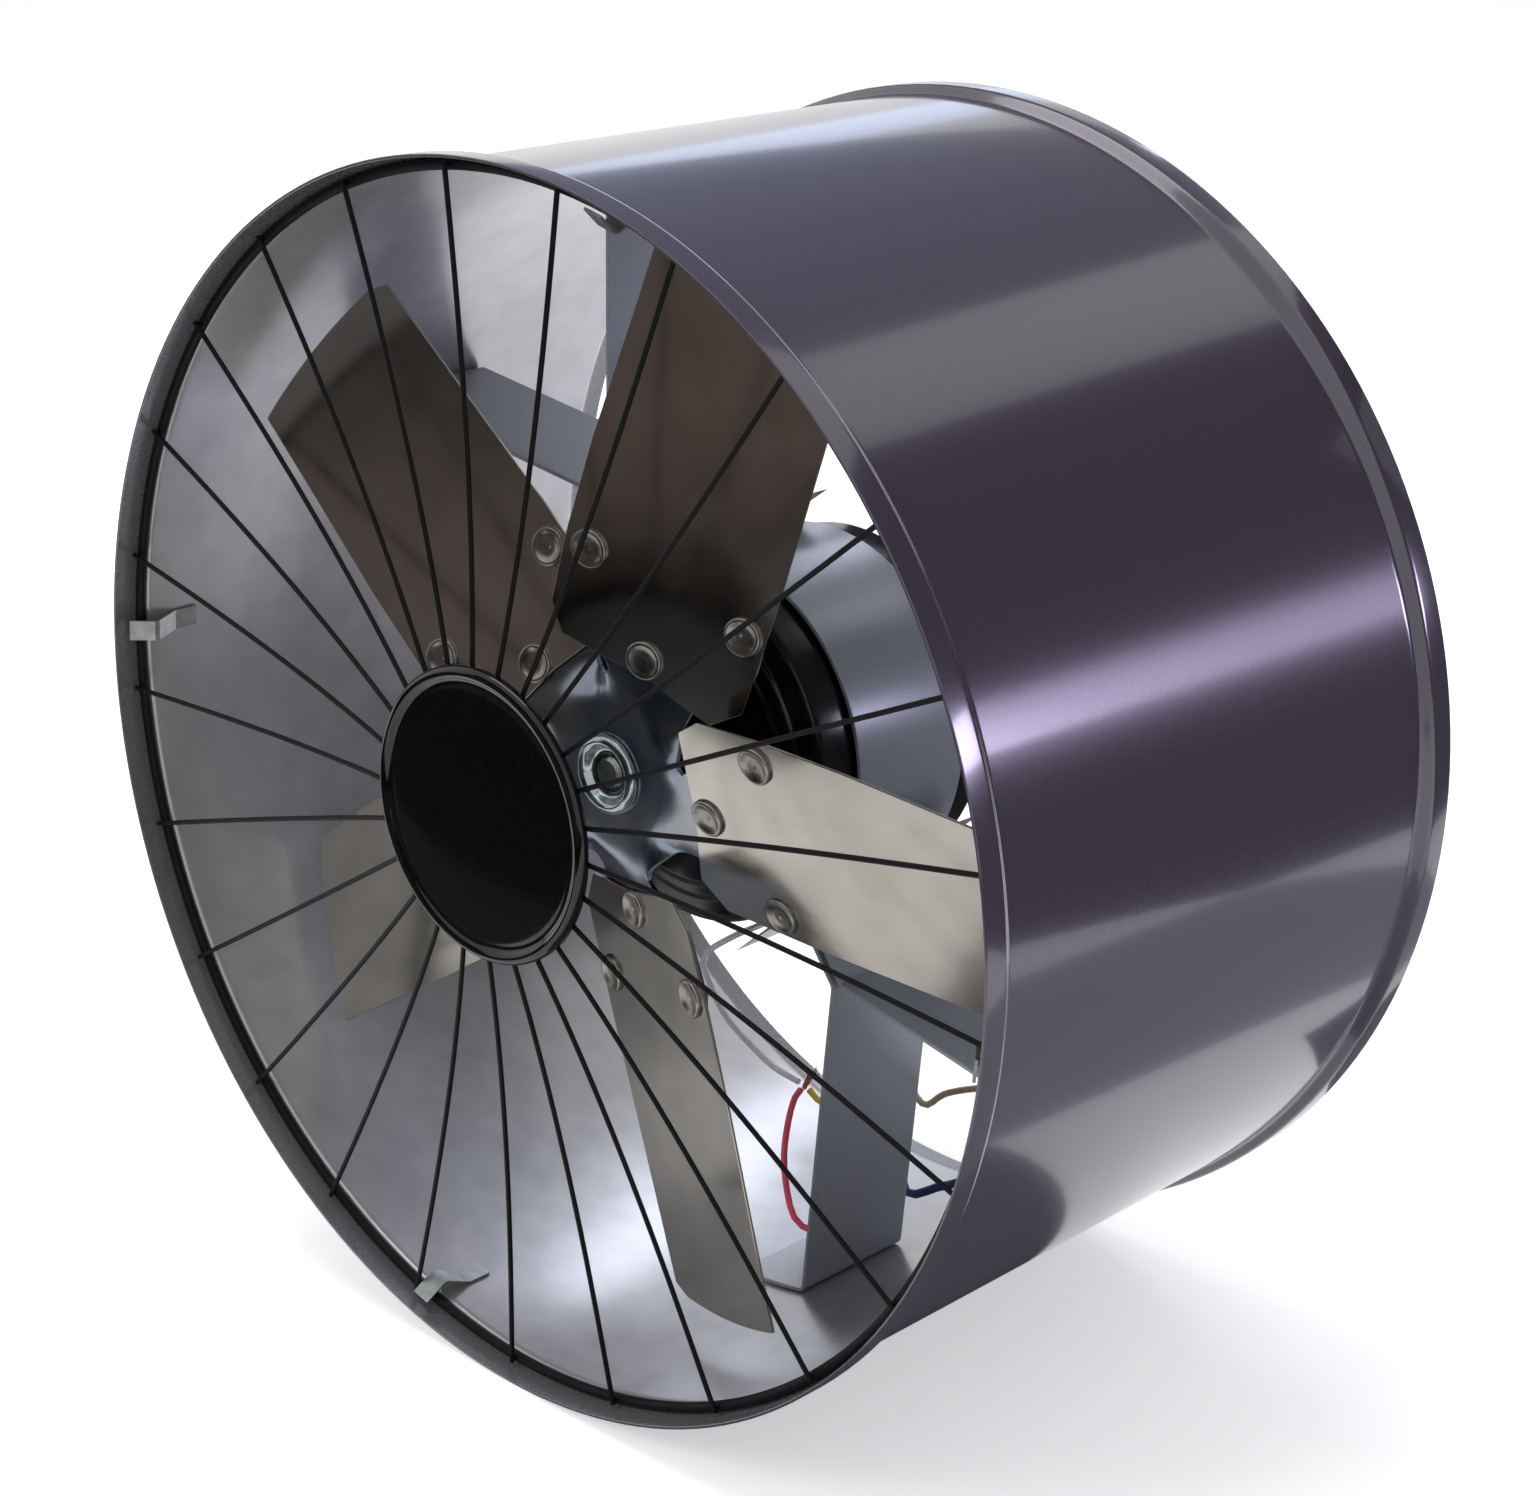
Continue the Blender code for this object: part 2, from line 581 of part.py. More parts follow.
def make_guard(coating, cap_gloss, zinc):
    section = []
    for step in range(WIRE_SIDES):
        turn = math.tau * (step + 0.5) / WIRE_SIDES
        across = RING_WIRE * math.cos(turn)
        section.append((RING_RADIUS + across, ring_depth() + RING_WIRE * math.sin(turn)))
    guard = turned_object("guard_wires", section, RING_SIDES, coating)
    spokes = bmesh.new()
    for number in range(SPOKE_COUNT):
        add_wire(spokes, spoke_line(), SPOKE_WIRE, radial_frame(spoke_angle(number)))
    combine(guard, helper_object("guard_spokes", spokes), "UNION")

    plate_front = spoke_hub_depth() + SPOKE_WIRE + GAP
    plate_back = plate_front + HUB_PLATE_SHEET
    bore = CAP_STUD_RADIUS + GAP
    section = ring_section(bore, HUB_PLATE_RADIUS, plate_front, plate_back)
    turned_object("guard_hub_plate", section, CAP_SIDES, zinc)
    nut_front = plate_back + GAP
    nut_back = nut_front + CAP_NUT_HEIGHT
    nut_levels = (
        (nut_front, bore, False), (nut_front, CAP_NUT_CORNER, True),
        (nut_back, CAP_NUT_CORNER, True), (nut_back, bore, False),
    )
    nut = stack_mesh("guard_cap_nut", nut_levels, HEX_STEPS, zinc, bored=True)
    place("guard_cap_nut", nut, None, ALONG_AXIS)

    rear_edge = spoke_hub_depth() - SPOKE_WIRE - GAP
    shares = CAP_FACE_SHARES + CAP_BACK_SHARES
    profile = [(CAP_RADIUS * out, rear_edge - CAP_HEIGHT * up) for out, up in shares]
    stud_end = nut_back + CAP_STUD_PROUD
    profile.append((CAP_STUD_RADIUS, rear_edge - CAP_HEIGHT * CAP_BACK_CENTRE_SHARE))
    profile += [(CAP_STUD_RADIUS, stud_end), (0.0, stud_end)]
    turned_object("guard_cap", profile, CAP_SIDES, cap_gloss)


def make_clips(zinc):
    """Foot along the drum, joggle inwards past the ring, then a hook in front of it."""
    wall = DRUM_BORE - GAP - CLIP_SHEET / 2
    ridge_back = ring_depth() + CLIP_RIDGE_BEHIND_RING + CLIP_RIDGE_LENGTH
    ridge_front = ridge_back - CLIP_RIDGE_LENGTH
    joggle_back = ridge_back + CLIP_JOGGLE_LENGTH
    ridge = wall - CLIP_JOGGLE_DROP
    line = [
        Vector((wall, joggle_back + CLIP_FOOT_LENGTH)),
        Vector((wall, joggle_back)),
        Vector((ridge, ridge_back)),
        Vector((ridge, ridge_front)),
        Vector((ridge + CLIP_HOOK_RISE, ridge_front - CLIP_HOOK_LENGTH)),
    ]
    shape = bmesh.new()
    add_ribbon(shape, line, CLIP_SHEET, [(-CLIP_WIDTH / 2, CLIP_WIDTH / 2)] * len(line))
    mesh = mesh_from(shape, "guard_clip", zinc)
    spacing = math.tau * RING_RADIUS / SPOKE_COUNT
    for number, (wire, share) in enumerate(CLIP_PLACE_SHARES, start=1):
        offset = math.copysign(abs(share) * spacing + SPOKE_WIRE + CLIP_WIDTH / 2, share)
        angle = spoke_angle(wire) + math.degrees(offset / RING_RADIUS)
        place(f"guard_clip_{number}", mesh, None, radial_frame(angle))


# Impeller

def blade_frame(angle):
    """Own X along the blade, own Y across it, own Z out of its front face."""
    spin = Matrix.Rotation(-math.radians(angle), 4, "Y")
    lean = Matrix.Rotation(math.pi / 2 + BLADE_TILT, 4, "X")
    return Matrix.Translation((0.0, BLADE_PLANE, 0.0)) @ spin @ lean


def blade_points(shares, reach, width):
    return [Vector((along * reach, across * width)) for along, across in shares]


def blade_outline():
    outline = blade_points(BLADE_FOOT_LEADING_SHARES, SPIDER_REACH, SPIDER_REACH)
    outline += blade_points(BLADE_LEADING_SHARES, BLADE_TIP_RADIUS, BLADE_WIDTH)
    for angle in BLADE_TIP_ARC:
        swing = math.radians(angle)
        outline.append(Vector((math.cos(swing), math.sin(swing) / math.cos(BLADE_TILT))) * BLADE_TIP_RADIUS)
    outline += blade_points(BLADE_TRAILING_SHARES, BLADE_TIP_RADIUS, BLADE_WIDTH)
    return outline + blade_points(BLADE_FOOT_TRAILING_SHARES, SPIDER_REACH, SPIDER_REACH)


def rivet_places():
    return blade_points(RIVET_PLACE_SHARES, SPIDER_REACH, SPIDER_REACH)


def rivet_frames(angle):
    return [blade_frame(angle) @ Matrix.Translation(spot.to_3d()) for spot in rivet_places()]


def add_loop(shape, points, height):
    verts = [shape.verts.new((*point, height)) for point in points]
    for index, vert in enumerate(verts):
        shape.edges.new((verts[index - 1], vert))


def thicken(shape, height):
    raised = bmesh.ops.extrude_face_region(shape, geom=shape.faces[:])["geom"]
    lifted = [item for item in raised if isinstance(item, bmesh.types.BMVert)]
    bmesh.ops.translate(shape, verts=lifted, vec=(0.0, 0.0, height))


def make_blades(steel, parent):
    """A flat sheet filled between its outline and its rivet holes, then thickened."""
    shape = bmesh.new()
    add_loop(shape, blade_outline(), -BLADE_SHEET / 2)
    hole = RIVET_SHANK + GAP
    turns = [math.tau * step / HOLE_SIDES for step in range(HOLE_SIDES)]
    for centre in rivet_places():
        rim = [centre + Vector((math.cos(turn), math.sin(turn))) * hole for turn in turns]
        add_loop(shape, rim, -BLADE_SHEET / 2)
    bmesh.ops.triangle_fill(shape, use_beauty=True, edges=shape.edges[:], normal=(0.0, 0.0, 1.0))
    thicken(shape, BLADE_SHEET)
    mesh = mesh_from(shape, "blade", steel)
    for number, angle in enumerate(BLADE_ANGLES, start=1):
        place(f"blade_{number}", mesh, parent, blade_frame(angle))


def make_rivets(bright, parent):
    """Wide dished heads on the blade's face, plain tails behind the spider's arm."""
    head_under = BLADE_SHEET / 2 + GAP
    tail_under = -(BLADE_SHEET / 2 + GAP + SPIDER_SHEET + GAP)
    levels = [
        (tail_under - RIVET_TAIL_HEIGHT, RIVET_TAIL * RIVET_TAIL_CROWN_SHARE, False),
        (tail_under, RIVET_TAIL, False), (tail_under, RIVET_SHANK, False), (head_under, RIVET_SHANK, False),
    ]
    for out, up in RIVET_HEAD_SHARES:
        levels.append((head_under + RIVET_HEAD_HEIGHT * up, RIVET_HEAD * out, False))
    mesh = stack_mesh("blade_rivet", levels, RIVET_SIDES, bright)
    frames = [frame for angle in BLADE_ANGLES for frame in rivet_frames(angle)]
    for number, frame in enumerate(frames, start=1):
        place(f"blade_rivet_{number}", mesh, parent, frame)


def spider_lift(radius, angle):
    """How far the pressed arm stands in front of the disc, at an angle from its own axis."""
    share = min(max((radius - SPIDER_TWIST_START) / (SPIDER_TWIST_END - SPIDER_TWIST_START), 0.0), 1.0)
    blend = share * share * (3 - 2 * share)
    return radius * math.sin(math.radians(angle)) * math.tan(BLADE_TILT) * blend


def notch_lift(radius, angle, sector):
    """Between two arms the height runs evenly from one edge to the next."""
    plus, minus = SPIDER_ROOT_ANGLES
    share = (angle - plus) / (minus + sector - plus)
    return spider_lift(radius, plus) * (1 - share) + spider_lift(radius, minus) * share


def make_spider(zinc, parent):
    """Pressed disc with five twisted arms; a notch and a square relief part the arms."""
    arms = len(BLADE_ANGLES)
    sector = 360.0 / arms
    plus, minus = SPIDER_ROOT_ANGLES
    arm_shares = [step / SPIDER_ARM_STEPS for step in range(SPIDER_ARM_STEPS + 1)]
    columns = [minus + (plus - minus) * share for share in arm_shares]
    columns += SPIDER_RELIEF_ANGLES
    radii = (
        BOSS_NECK_RADIUS + GAP, SPIDER_TWIST_START, SPIDER_NOTCH_RADIUS - SPIDER_RELIEF_DEPTH,
        SPIDER_NOTCH_RADIUS,
    )
    shape = bmesh.new()
    base = -SPIDER_DEPTH / 2

    def point(radius, arm, angle, lift):
        turn = math.radians(BLADE_ANGLES[0] + arm * sector + angle)
        return shape.verts.new((radius * math.cos(turn), radius * math.sin(turn), base + lift))

    grid = {}
    for arm in range(arms):
        for column, angle in enumerate(columns):
            for row, radius in enumerate(radii):
                lift = spider_lift(radius, angle) if angle <= plus else notch_lift(radius, angle, sector)
                grid[row, arm * len(columns) + column] = point(radius, arm, angle, lift)
    width = arms * len(columns)
    for row in range(len(radii) - 1):
        for column in range(width):
            is_relief = row == len(radii) - 2 and column % len(columns) == len(columns) - 2
            if not is_relief:
                after = (column + 1) % width
                near = (grid[row, column], grid[row, after])
                shape.faces.new((*near, grid[row + 1, after], grid[row + 1, column]))
    for arm in range(arms):
        root = arm * len(columns)
        lower = [grid[len(radii) - 1, root + step] for step in range(SPIDER_ARM_STEPS + 1)]
        for share, plus_edge, minus_edge in SPIDER_ARM_SHARES:
            radius = SPIDER_NOTCH_RADIUS + (SPIDER_REACH - SPIDER_NOTCH_RADIUS) * share
            upper = []
            for step in range(SPIDER_ARM_STEPS + 1):
                angle = minus_edge + (plus_edge - minus_edge) * step / SPIDER_ARM_STEPS
                upper.append(point(radius, arm, angle, spider_lift(radius, angle)))
            for step in range(SPIDER_ARM_STEPS):
                shape.faces.new((lower[step], lower[step + 1], upper[step + 1], upper[step]))
            lower = upper
    loose = [vert for vert in shape.verts if not vert.link_faces]
    bmesh.ops.delete(shape, geom=loose, context="VERTS")
    thicken(shape, SPIDER_DEPTH)
    frame = Matrix.Translation((0.0, SPIDER_PLANE, 0.0)) @ FRONT_VIEW
    spider = shape_object("hub_spider", shape, zinc, parent, frame)
    holes = bmesh.new()
    reach = BLADE_SHEET + SPIDER_SHEET + CUT_OVERRUN
    for angle in BLADE_ANGLES:
        rods = [(frame, RIVET_SHANK + GAP, -reach, 0.0) for frame in rivet_frames(angle)]
        add_rods(holes, rods, HOLE_SIDES)
    combine(spider, helper_object("spider_holes", holes), "DIFFERENCE")


def make_boss(bright, dark, parent):
    bore = SHAFT_RADIUS + GAP
    flange_front = BOSS_FLANGE_BACK - BOSS_FLANGE_THICKNESS
    barrel_back = BOSS_FLANGE_BACK + BOSS_BARREL_LENGTH
    bead = []
    for out, up in reversed(BOSS_BEAD_SHARES):
        bead.append((BOSS_BEAD_RADIUS * out, BOSS_BEAD_BACK - BOSS_BEAD_HEIGHT * up))
    profile = [
        (bore, bead[0][1]), *bead, (BOSS_NECK_RADIUS, BOSS_BEAD_BACK),
        (BOSS_NECK_RADIUS, flange_front), (BOSS_FLANGE_RADIUS, flange_front),
        (BOSS_FLANGE_RADIUS, BOSS_FLANGE_BACK), (BOSS_BARREL_RADIUS, BOSS_FLANGE_BACK),
        (BOSS_BARREL_RADIUS, barrel_back - BOSS_CHAMFER),
        (BOSS_BARREL_RADIUS - BOSS_CHAMFER, barrel_back), (bore, barrel_back),
    ]
    boss = turned_object("hub_boss", profile, ROTOR_SIDES, bright, parent)

    frame = outward_frame(SET_SCREW_ANGLE, (BOSS_FLANGE_BACK + barrel_back) / 2)
    hole = bmesh.new()
    drill = (frame, SET_SCREW_RADIUS + GAP, SHAFT_RADIUS / 2, BOSS_BARREL_RADIUS + CUT_OVERRUN)
    add_rods(hole, [drill], HEX_STEPS)
    combine(boss, helper_object("set_screw_hole", hole), "DIFFERENCE")
    start = bore
    end = start + SET_SCREW_LENGTH
    socket = SET_SCREW_RADIUS * SET_SCREW_SOCKET_SHARE
    levels = (
        (start, SET_SCREW_RADIUS, False), (end, SET_SCREW_RADIUS, False), (end, socket, True),
        (end - SET_SCREW_SOCKET_DEPTH, socket, True),
    )
    place("hub_set_screw", stack_mesh("hub_set_screw", levels, HEX_STEPS, dark), parent, frame)


# Motor

def bell_profile():
    """Radius and height above the core's face: outside, through the bush seat, back inside."""
    outer = [(BELL_RADIUS * out, BELL_DEPTH * up) for out, up in BELL_PROFILE_SHARES]
    bore = BUSH_RADIUS + GAP
    seat = bore + BUSH_SEAT_WALL
    seat_end = BELL_DEPTH - BUSH_INSET - BUSH_LENGTH
    seat_points = [
        (bore, BELL_DEPTH), (bore, seat_end), (seat, seat_end),
        (seat, outer[BELL_FACE_POINT][1] - BELL_WALL),
    ]
    inner = []
    for index in BELL_INNER_POINTS:
        radius, height = outer[index]
        inner.append((radius - BELL_WALL, height - BELL_WALL))
    return outer + seat_points + inner + [(BELL_RADIUS - BELL_WALL, 0.0)]


def bush_ends():
    """Front and rear bush: the outer end, the inner end and the direction outwards."""
    front = CORE_FRONT - GAP - BELL_DEPTH + BUSH_INSET
    rear = CORE_REAR + GAP + BELL_DEPTH - BUSH_INSET
    return ((front, front + BUSH_LENGTH), (rear, rear - BUSH_LENGTH))


def through_bolt_frame(angle):
    return Matrix.Translation(around(THROUGH_BOLT_PLACE, angle, 0.0)) @ ALONG_AXIS


def make_motor_shells(black, core_steel, bronze, bright):
    bell_band = BELL_DEPTH * BELL_PROFILE_SHARES[BELL_BAND_POINT][1]
    bolt_front = CORE_FRONT - GAP - bell_band - GAP
    bolt_rear = CORE_REAR + GAP + bell_band + THROUGH_BOLT_PROUD
    holes = bmesh.new()
    rods = []
    for angle in THROUGH_BOLT_ANGLES:
        radius = THROUGH_BOLT_RADIUS + HOLE_CLEARANCE
        ends = (bolt_front - CUT_OVERRUN, bolt_rear + CUT_OVERRUN)
        rods.append((through_bolt_frame(angle), radius, *ends))
    add_rods(holes, rods, HOLE_SIDES)
    bolt_holes = helper_object("through_bolt_holes", holes)
    slots = bmesh.new()
    add_rods(slots, slot_rods(SLOT_BAR_RADIUS + GAP, CUT_OVERRUN), HOLE_SIDES)

    section = ring_section(CORE_BORE, CORE_RADIUS, CORE_FRONT, CORE_REAR)
    core = turned_object("stator_core", section, MOTOR_SIDES, core_steel)
    combine(core, bolt_holes, "DIFFERENCE")
    combine(core, helper_object("winding_slots", slots), "DIFFERENCE")
    front_bell = [(radius, CORE_FRONT - GAP - height) for radius, height in bell_profile()]
    front_bell = turned_object("motor_front_bell", front_bell, MOTOR_SIDES, black)
    combine(front_bell, bolt_holes, "DIFFERENCE")
    rear_bell = [(radius, CORE_REAR + GAP + height) for radius, height in bell_profile()]
    rear_bell = turned_object("motor_rear_bell", rear_bell, MOTOR_SIDES, black)
    combine(rear_bell, bolt_holes, "DIFFERENCE")
    neck = bmesh.new()
    frame = outward_frame(GROMMET_ANGLE, GROMMET_DEPTH)
    ends = (BELL_RADIUS - BELL_WALL - CUT_OVERRUN, BELL_RADIUS + CUT_OVERRUN)
    add_rods(neck, [(frame, GROMMET_NECK + GAP, *ends)], GROMMET_SIDES)
    combine(rear_bell, helper_object("grommet_hole", neck), "DIFFERENCE")

    for name, ends in zip(("front_bush", "rear_bush"), bush_ends()):
        section = ring_section(SHAFT_RADIUS + RUNNING_CLEARANCE, BUSH_RADIUS, *ends)
        turned_object(name, section, MOTOR_SIDES, bronze)
    levels = (
        (bolt_front - THROUGH_BOLT_HEAD_HEIGHT, THROUGH_BOLT_HEAD * BOLT_CROWN_SHARE, False),
        (bolt_front, THROUGH_BOLT_HEAD, False), (bolt_front, THROUGH_BOLT_RADIUS, False),
        (bolt_rear, THROUGH_BOLT_RADIUS, False),
    )
    mesh = stack_mesh("motor_through_bolt", levels, HOLE_SIDES, bright)
    for number, angle in enumerate(THROUGH_BOLT_ANGLES, start=1):
        place(f"motor_through_bolt_{number}", mesh, None, through_bolt_frame(angle))


def slot_rods(radius, overrun):
    """The coil sides that run through the core from one end winding to the other."""
    middle = (WINDING_INNER + WINDING_OUTER) / 2
    rods = []
    for step in range(SLOT_COUNT):
        frame = Matrix.Translation(around(middle, 360.0 * step / SLOT_COUNT, 0.0)) @ ALONG_AXIS
        rods.append((frame, radius, CORE_FRONT - overrun, CORE_REAR + overrun))
    return rods


def make_windings(copper):
    shape = bmesh.new()
    for face, direction in ((CORE_FRONT, -1.0), (CORE_REAR, 1.0)):
        near = face + direction * GAP
        far = near + direction * WINDING_HEIGHT
        add_turned(shape, ring_section(WINDING_INNER, WINDING_OUTER, near, far), ROTOR_SIDES)
    windings = shape_object("stator_windings", shape, copper)
    bars = bmesh.new()
    add_rods(bars, slot_rods(SLOT_BAR_RADIUS, WINDING_HEIGHT / 2), HOLE_SIDES)
    combine(windings, helper_object("winding_slot_bars", bars), "UNION")


def make_rotor(core_steel, bright, parent):
    """Rotor core with its two end rings, on a shaft whose shoulder runs between the bushes."""
    rotor_radius = CORE_BORE - ROTOR_AIR_GAP
    ring_outer = rotor_radius - ROTOR_RING_INSET
    ring_inner = ring_outer - ROTOR_RING_WIDTH
    shoulder = SHAFT_RADIUS + SHAFT_SHOULDER_RISE
    ring_face = CORE_FRONT - ROTOR_RING_HEIGHT
    front = [
        (shoulder + GAP, CORE_FRONT), (ring_inner, CORE_FRONT), (ring_inner, ring_face),
        (ring_outer, ring_face), (ring_outer, CORE_FRONT), (rotor_radius, CORE_FRONT),
    ]
    rear = [(radius, CORE_FRONT + CORE_REAR - depth) for radius, depth in reversed(front)]
    turned_object("rotor_core", front + rear, ROTOR_SIDES, core_steel, parent)

    (front_end, front_shoulder), (rear_end, rear_shoulder) = bush_ends()
    shaft_front = BOSS_BEAD_BACK - BOSS_BEAD_HEIGHT + SHAFT_RECESS
    levels = (
        (shaft_front, SHAFT_RADIUS - SHAFT_CHAMFER, False),
        (shaft_front + SHAFT_CHAMFER, SHAFT_RADIUS, False),
        (front_shoulder + GAP, SHAFT_RADIUS, False), (front_shoulder + GAP, shoulder, False),
        (rear_shoulder - GAP, shoulder, False), (rear_shoulder - GAP, SHAFT_RADIUS, False),
        (rear_end - SHAFT_CHAMFER, SHAFT_RADIUS, False),
        (rear_end, SHAFT_RADIUS - SHAFT_CHAMFER, False),
    )
    place("shaft", stack_mesh("shaft", levels, ROTOR_SIDES, bright), parent, ALONG_AXIS)


# Straps

def clamp_point(angle, reach, sideways):
    """Front-view point at a reach along a radial line, shifted across it."""
    turn = math.radians(angle)
    outwards = Vector((math.cos(turn), math.sin(turn)))
    return outwards * reach + Vector((-outwards.y, outwards.x)) * sideways


def flap_line(foot, direction):
    """The strap's end that lies along the drum: free end first, foot last."""
    wall = DRUM_BORE - GAP - STRAP_SHEET / 2
    distances = [FLAP_CORNER * share for share in FLAP_CORNER_SHARES]
    distances += [(FLAP_CORNER + FLAP_LENGTH) / 2, FLAP_LENGTH]
    swings = [math.degrees((FLAP_LENGTH - gone) / wall) for gone in distances]
    return [clamp_point(foot + direction * swing, wall, 0.0) for swing in swings]


def strap_line(feet, direction):
    """Flap, arm, clamp flange, half band, clamp flange, arm and flap of one strap."""
    band = STRAP_BAND_RADIUS - STRAP_SHEET / 2
    offset = (CLAMP_SPACING + STRAP_SHEET) / 2
    corner_reach = math.sqrt(band ** 2 - offset ** 2)
    corner_angle = math.degrees(math.asin(offset / band))
    start_clamp, end_clamp = CLAMP_ANGLES
    if direction < 0:
        end_clamp -= 360.0
    start = start_clamp + direction * corner_angle
    end = end_clamp - direction * corner_angle
    line = flap_line(feet[0], direction)
    for reach in (CLAMP_REACH, corner_reach):
        line.append(clamp_point(start_clamp, reach, direction * offset))
    for step in range(1, BAND_STEPS):
        line.append(clamp_point(start + (end - start) * step / BAND_STEPS, band, 0.0))
    for reach in (corner_reach, CLAMP_REACH):
        line.append(clamp_point(end_clamp, reach, -direction * offset))
    line += flap_line(feet[1], -direction)[::-1]
    return rounded(line, STRAP_BEND, BEND_STEPS)


def strap_edges(line):
    """Front and rear edge at each point; the flaps' corners are rounded off."""
    travelled = [0.0]
    for before, after in zip(line, line[1:]):
        travelled.append(travelled[-1] + (after - before).length)
    edges = []
    for distance in travelled:
        short = max(FLAP_CORNER - min(distance, travelled[-1] - distance), 0.0)
        inset = FLAP_CORNER - math.sqrt(max(FLAP_CORNER ** 2 - short ** 2, 0.0))
        edges.append((STRAP_FRONT + inset, STRAP_REAR - inset))
    return edges


def clamp_bolt_frames():
    """Own Z runs across each clamp's two flanges, from the lower strap to the upper one."""
    frames = []
    for angle, turn in zip(CLAMP_ANGLES, (0.0, math.pi)):
        for depth in (STRAP_FRONT + CLAMP_BOLT_EDGE, STRAP_REAR - CLAMP_BOLT_EDGE):
            frame = radial_frame(angle, CLAMP_BOLT_PLACE, depth)
            frames.append(frame @ Matrix.Rotation(turn, 4, "X"))
    return frames


def make_straps(paint, zinc):
    reach = CLAMP_SPACING / 2 + STRAP_SHEET + CUT_OVERRUN
    holes = bmesh.new()
    hole = CLAMP_BOLT_RADIUS + HOLE_CLEARANCE
    add_rods(holes, [(frame, hole, -reach, reach) for frame in clamp_bolt_frames()], HOLE_SIDES)
    clamp_holes = helper_object("clamp_holes", holes)
    for name, feet, direction in (("strap_upper", UPPER_FEET, 1), ("strap_lower", LOWER_FEET, -1)):
        line = strap_line(feet, direction)
        shape = bmesh.new()
        add_ribbon(shape, line, STRAP_SHEET, strap_edges(line), STRAP_VIEW)
        combine(shape_object(name, shape, paint), clamp_holes, "DIFFERENCE")

    seat = CLAMP_SPACING / 2 + STRAP_SHEET + GAP
    nut_end = seat + CLAMP_NUT_HEIGHT
    bolt_levels = (
        (-seat - CLAMP_HEAD_HEIGHT, CLAMP_HEAD_CORNER, True), (-seat, CLAMP_HEAD_CORNER, True),
        (-seat, CLAMP_BOLT_RADIUS, False), (nut_end + CLAMP_BOLT_PROUD, CLAMP_BOLT_RADIUS, False),
    )
    bore = CLAMP_BOLT_RADIUS + GAP
    nut_levels = (
        (seat, bore, False), (seat, CLAMP_HEAD_CORNER, True),
        (nut_end, CLAMP_HEAD_CORNER, True), (nut_end, bore, False),
    )
    bolt = stack_mesh("clamp_bolt", bolt_levels, HEX_STEPS, zinc)
    nut = stack_mesh("clamp_nut", nut_levels, HEX_STEPS, zinc, bored=True)
    for number, frame in enumerate(clamp_bolt_frames(), start=1):
        place(f"clamp_bolt_{number}", bolt, None, frame)
        place(f"clamp_nut_{number}", nut, None, frame)


# Leads

def make_grommet(rubber):
    """Rear bell's grommet: a flange on each side of the wall and a nose for the leads."""
    wall_flat = (BELL_RADIUS - BELL_WALL) * math.cos(math.pi / MOTOR_SIDES)
    inner_face = math.sqrt(wall_flat ** 2 - GROMMET_INNER_FLANGE ** 2) - GAP
    outer_face = BELL_RADIUS + GAP
    nose_start = outer_face + GROMMET_FLANGE_SHEET
    levels = (
        (inner_face - GROMMET_FLANGE_SHEET, GROMMET_INNER_FLANGE, False),
        (inner_face, GROMMET_INNER_FLANGE, False), (inner_face, GROMMET_NECK, False),
        (outer_face, GROMMET_NECK, False), (outer_face, GROMMET_FLANGE, False),
        (nose_start, GROMMET_FLANGE, False), (nose_start, GROMMET_NOSE, False),
        (nose_start + GROMMET_NOSE_LENGTH, GROMMET_NOSE, False),
    )
    mesh = stack_mesh("lead_grommet", levels, GROMMET_SIDES, rubber)
    place("lead_grommet", mesh, None, outward_frame(GROMMET_ANGLE, GROMMET_DEPTH))


def make_leads(colours, copper):
    mouth = radial_frame(GROMMET_ANGLE, GROMMET_MOUTH, GROMMET_DEPTH)
    for name, (ring_angle, shares) in LEAD_ROUTE_SHARES.items():
        turn = math.radians(ring_angle)
        start = Vector((0.0, math.sin(turn), math.cos(turn))) * LEAD_RING_RADIUS
        route = [start, start + Vector((LEAD_STRAIGHT, 0.0, 0.0))]
        route += [Vector(share) * LEAD_ROOM for share in shares]
        line, length = smooth_route([mouth @ spot for spot in route], LEAD_POINT_SPACING)
        radius = THICK_LEAD_RADIUS if name == "lead_blue" else LEAD_RADIUS
        lead_object(name, line, radius, colours[name])
        print(name, "length in metres:", round(length, 4))
    line = [mouth @ (Vector(share) * LEAD_ROOM) for share in SPLICE_ROUTE_SHARES]
    lead_object("lead_splice", line, SPLICE_RADIUS, copper, SPLICE_SWELL_SHARES)


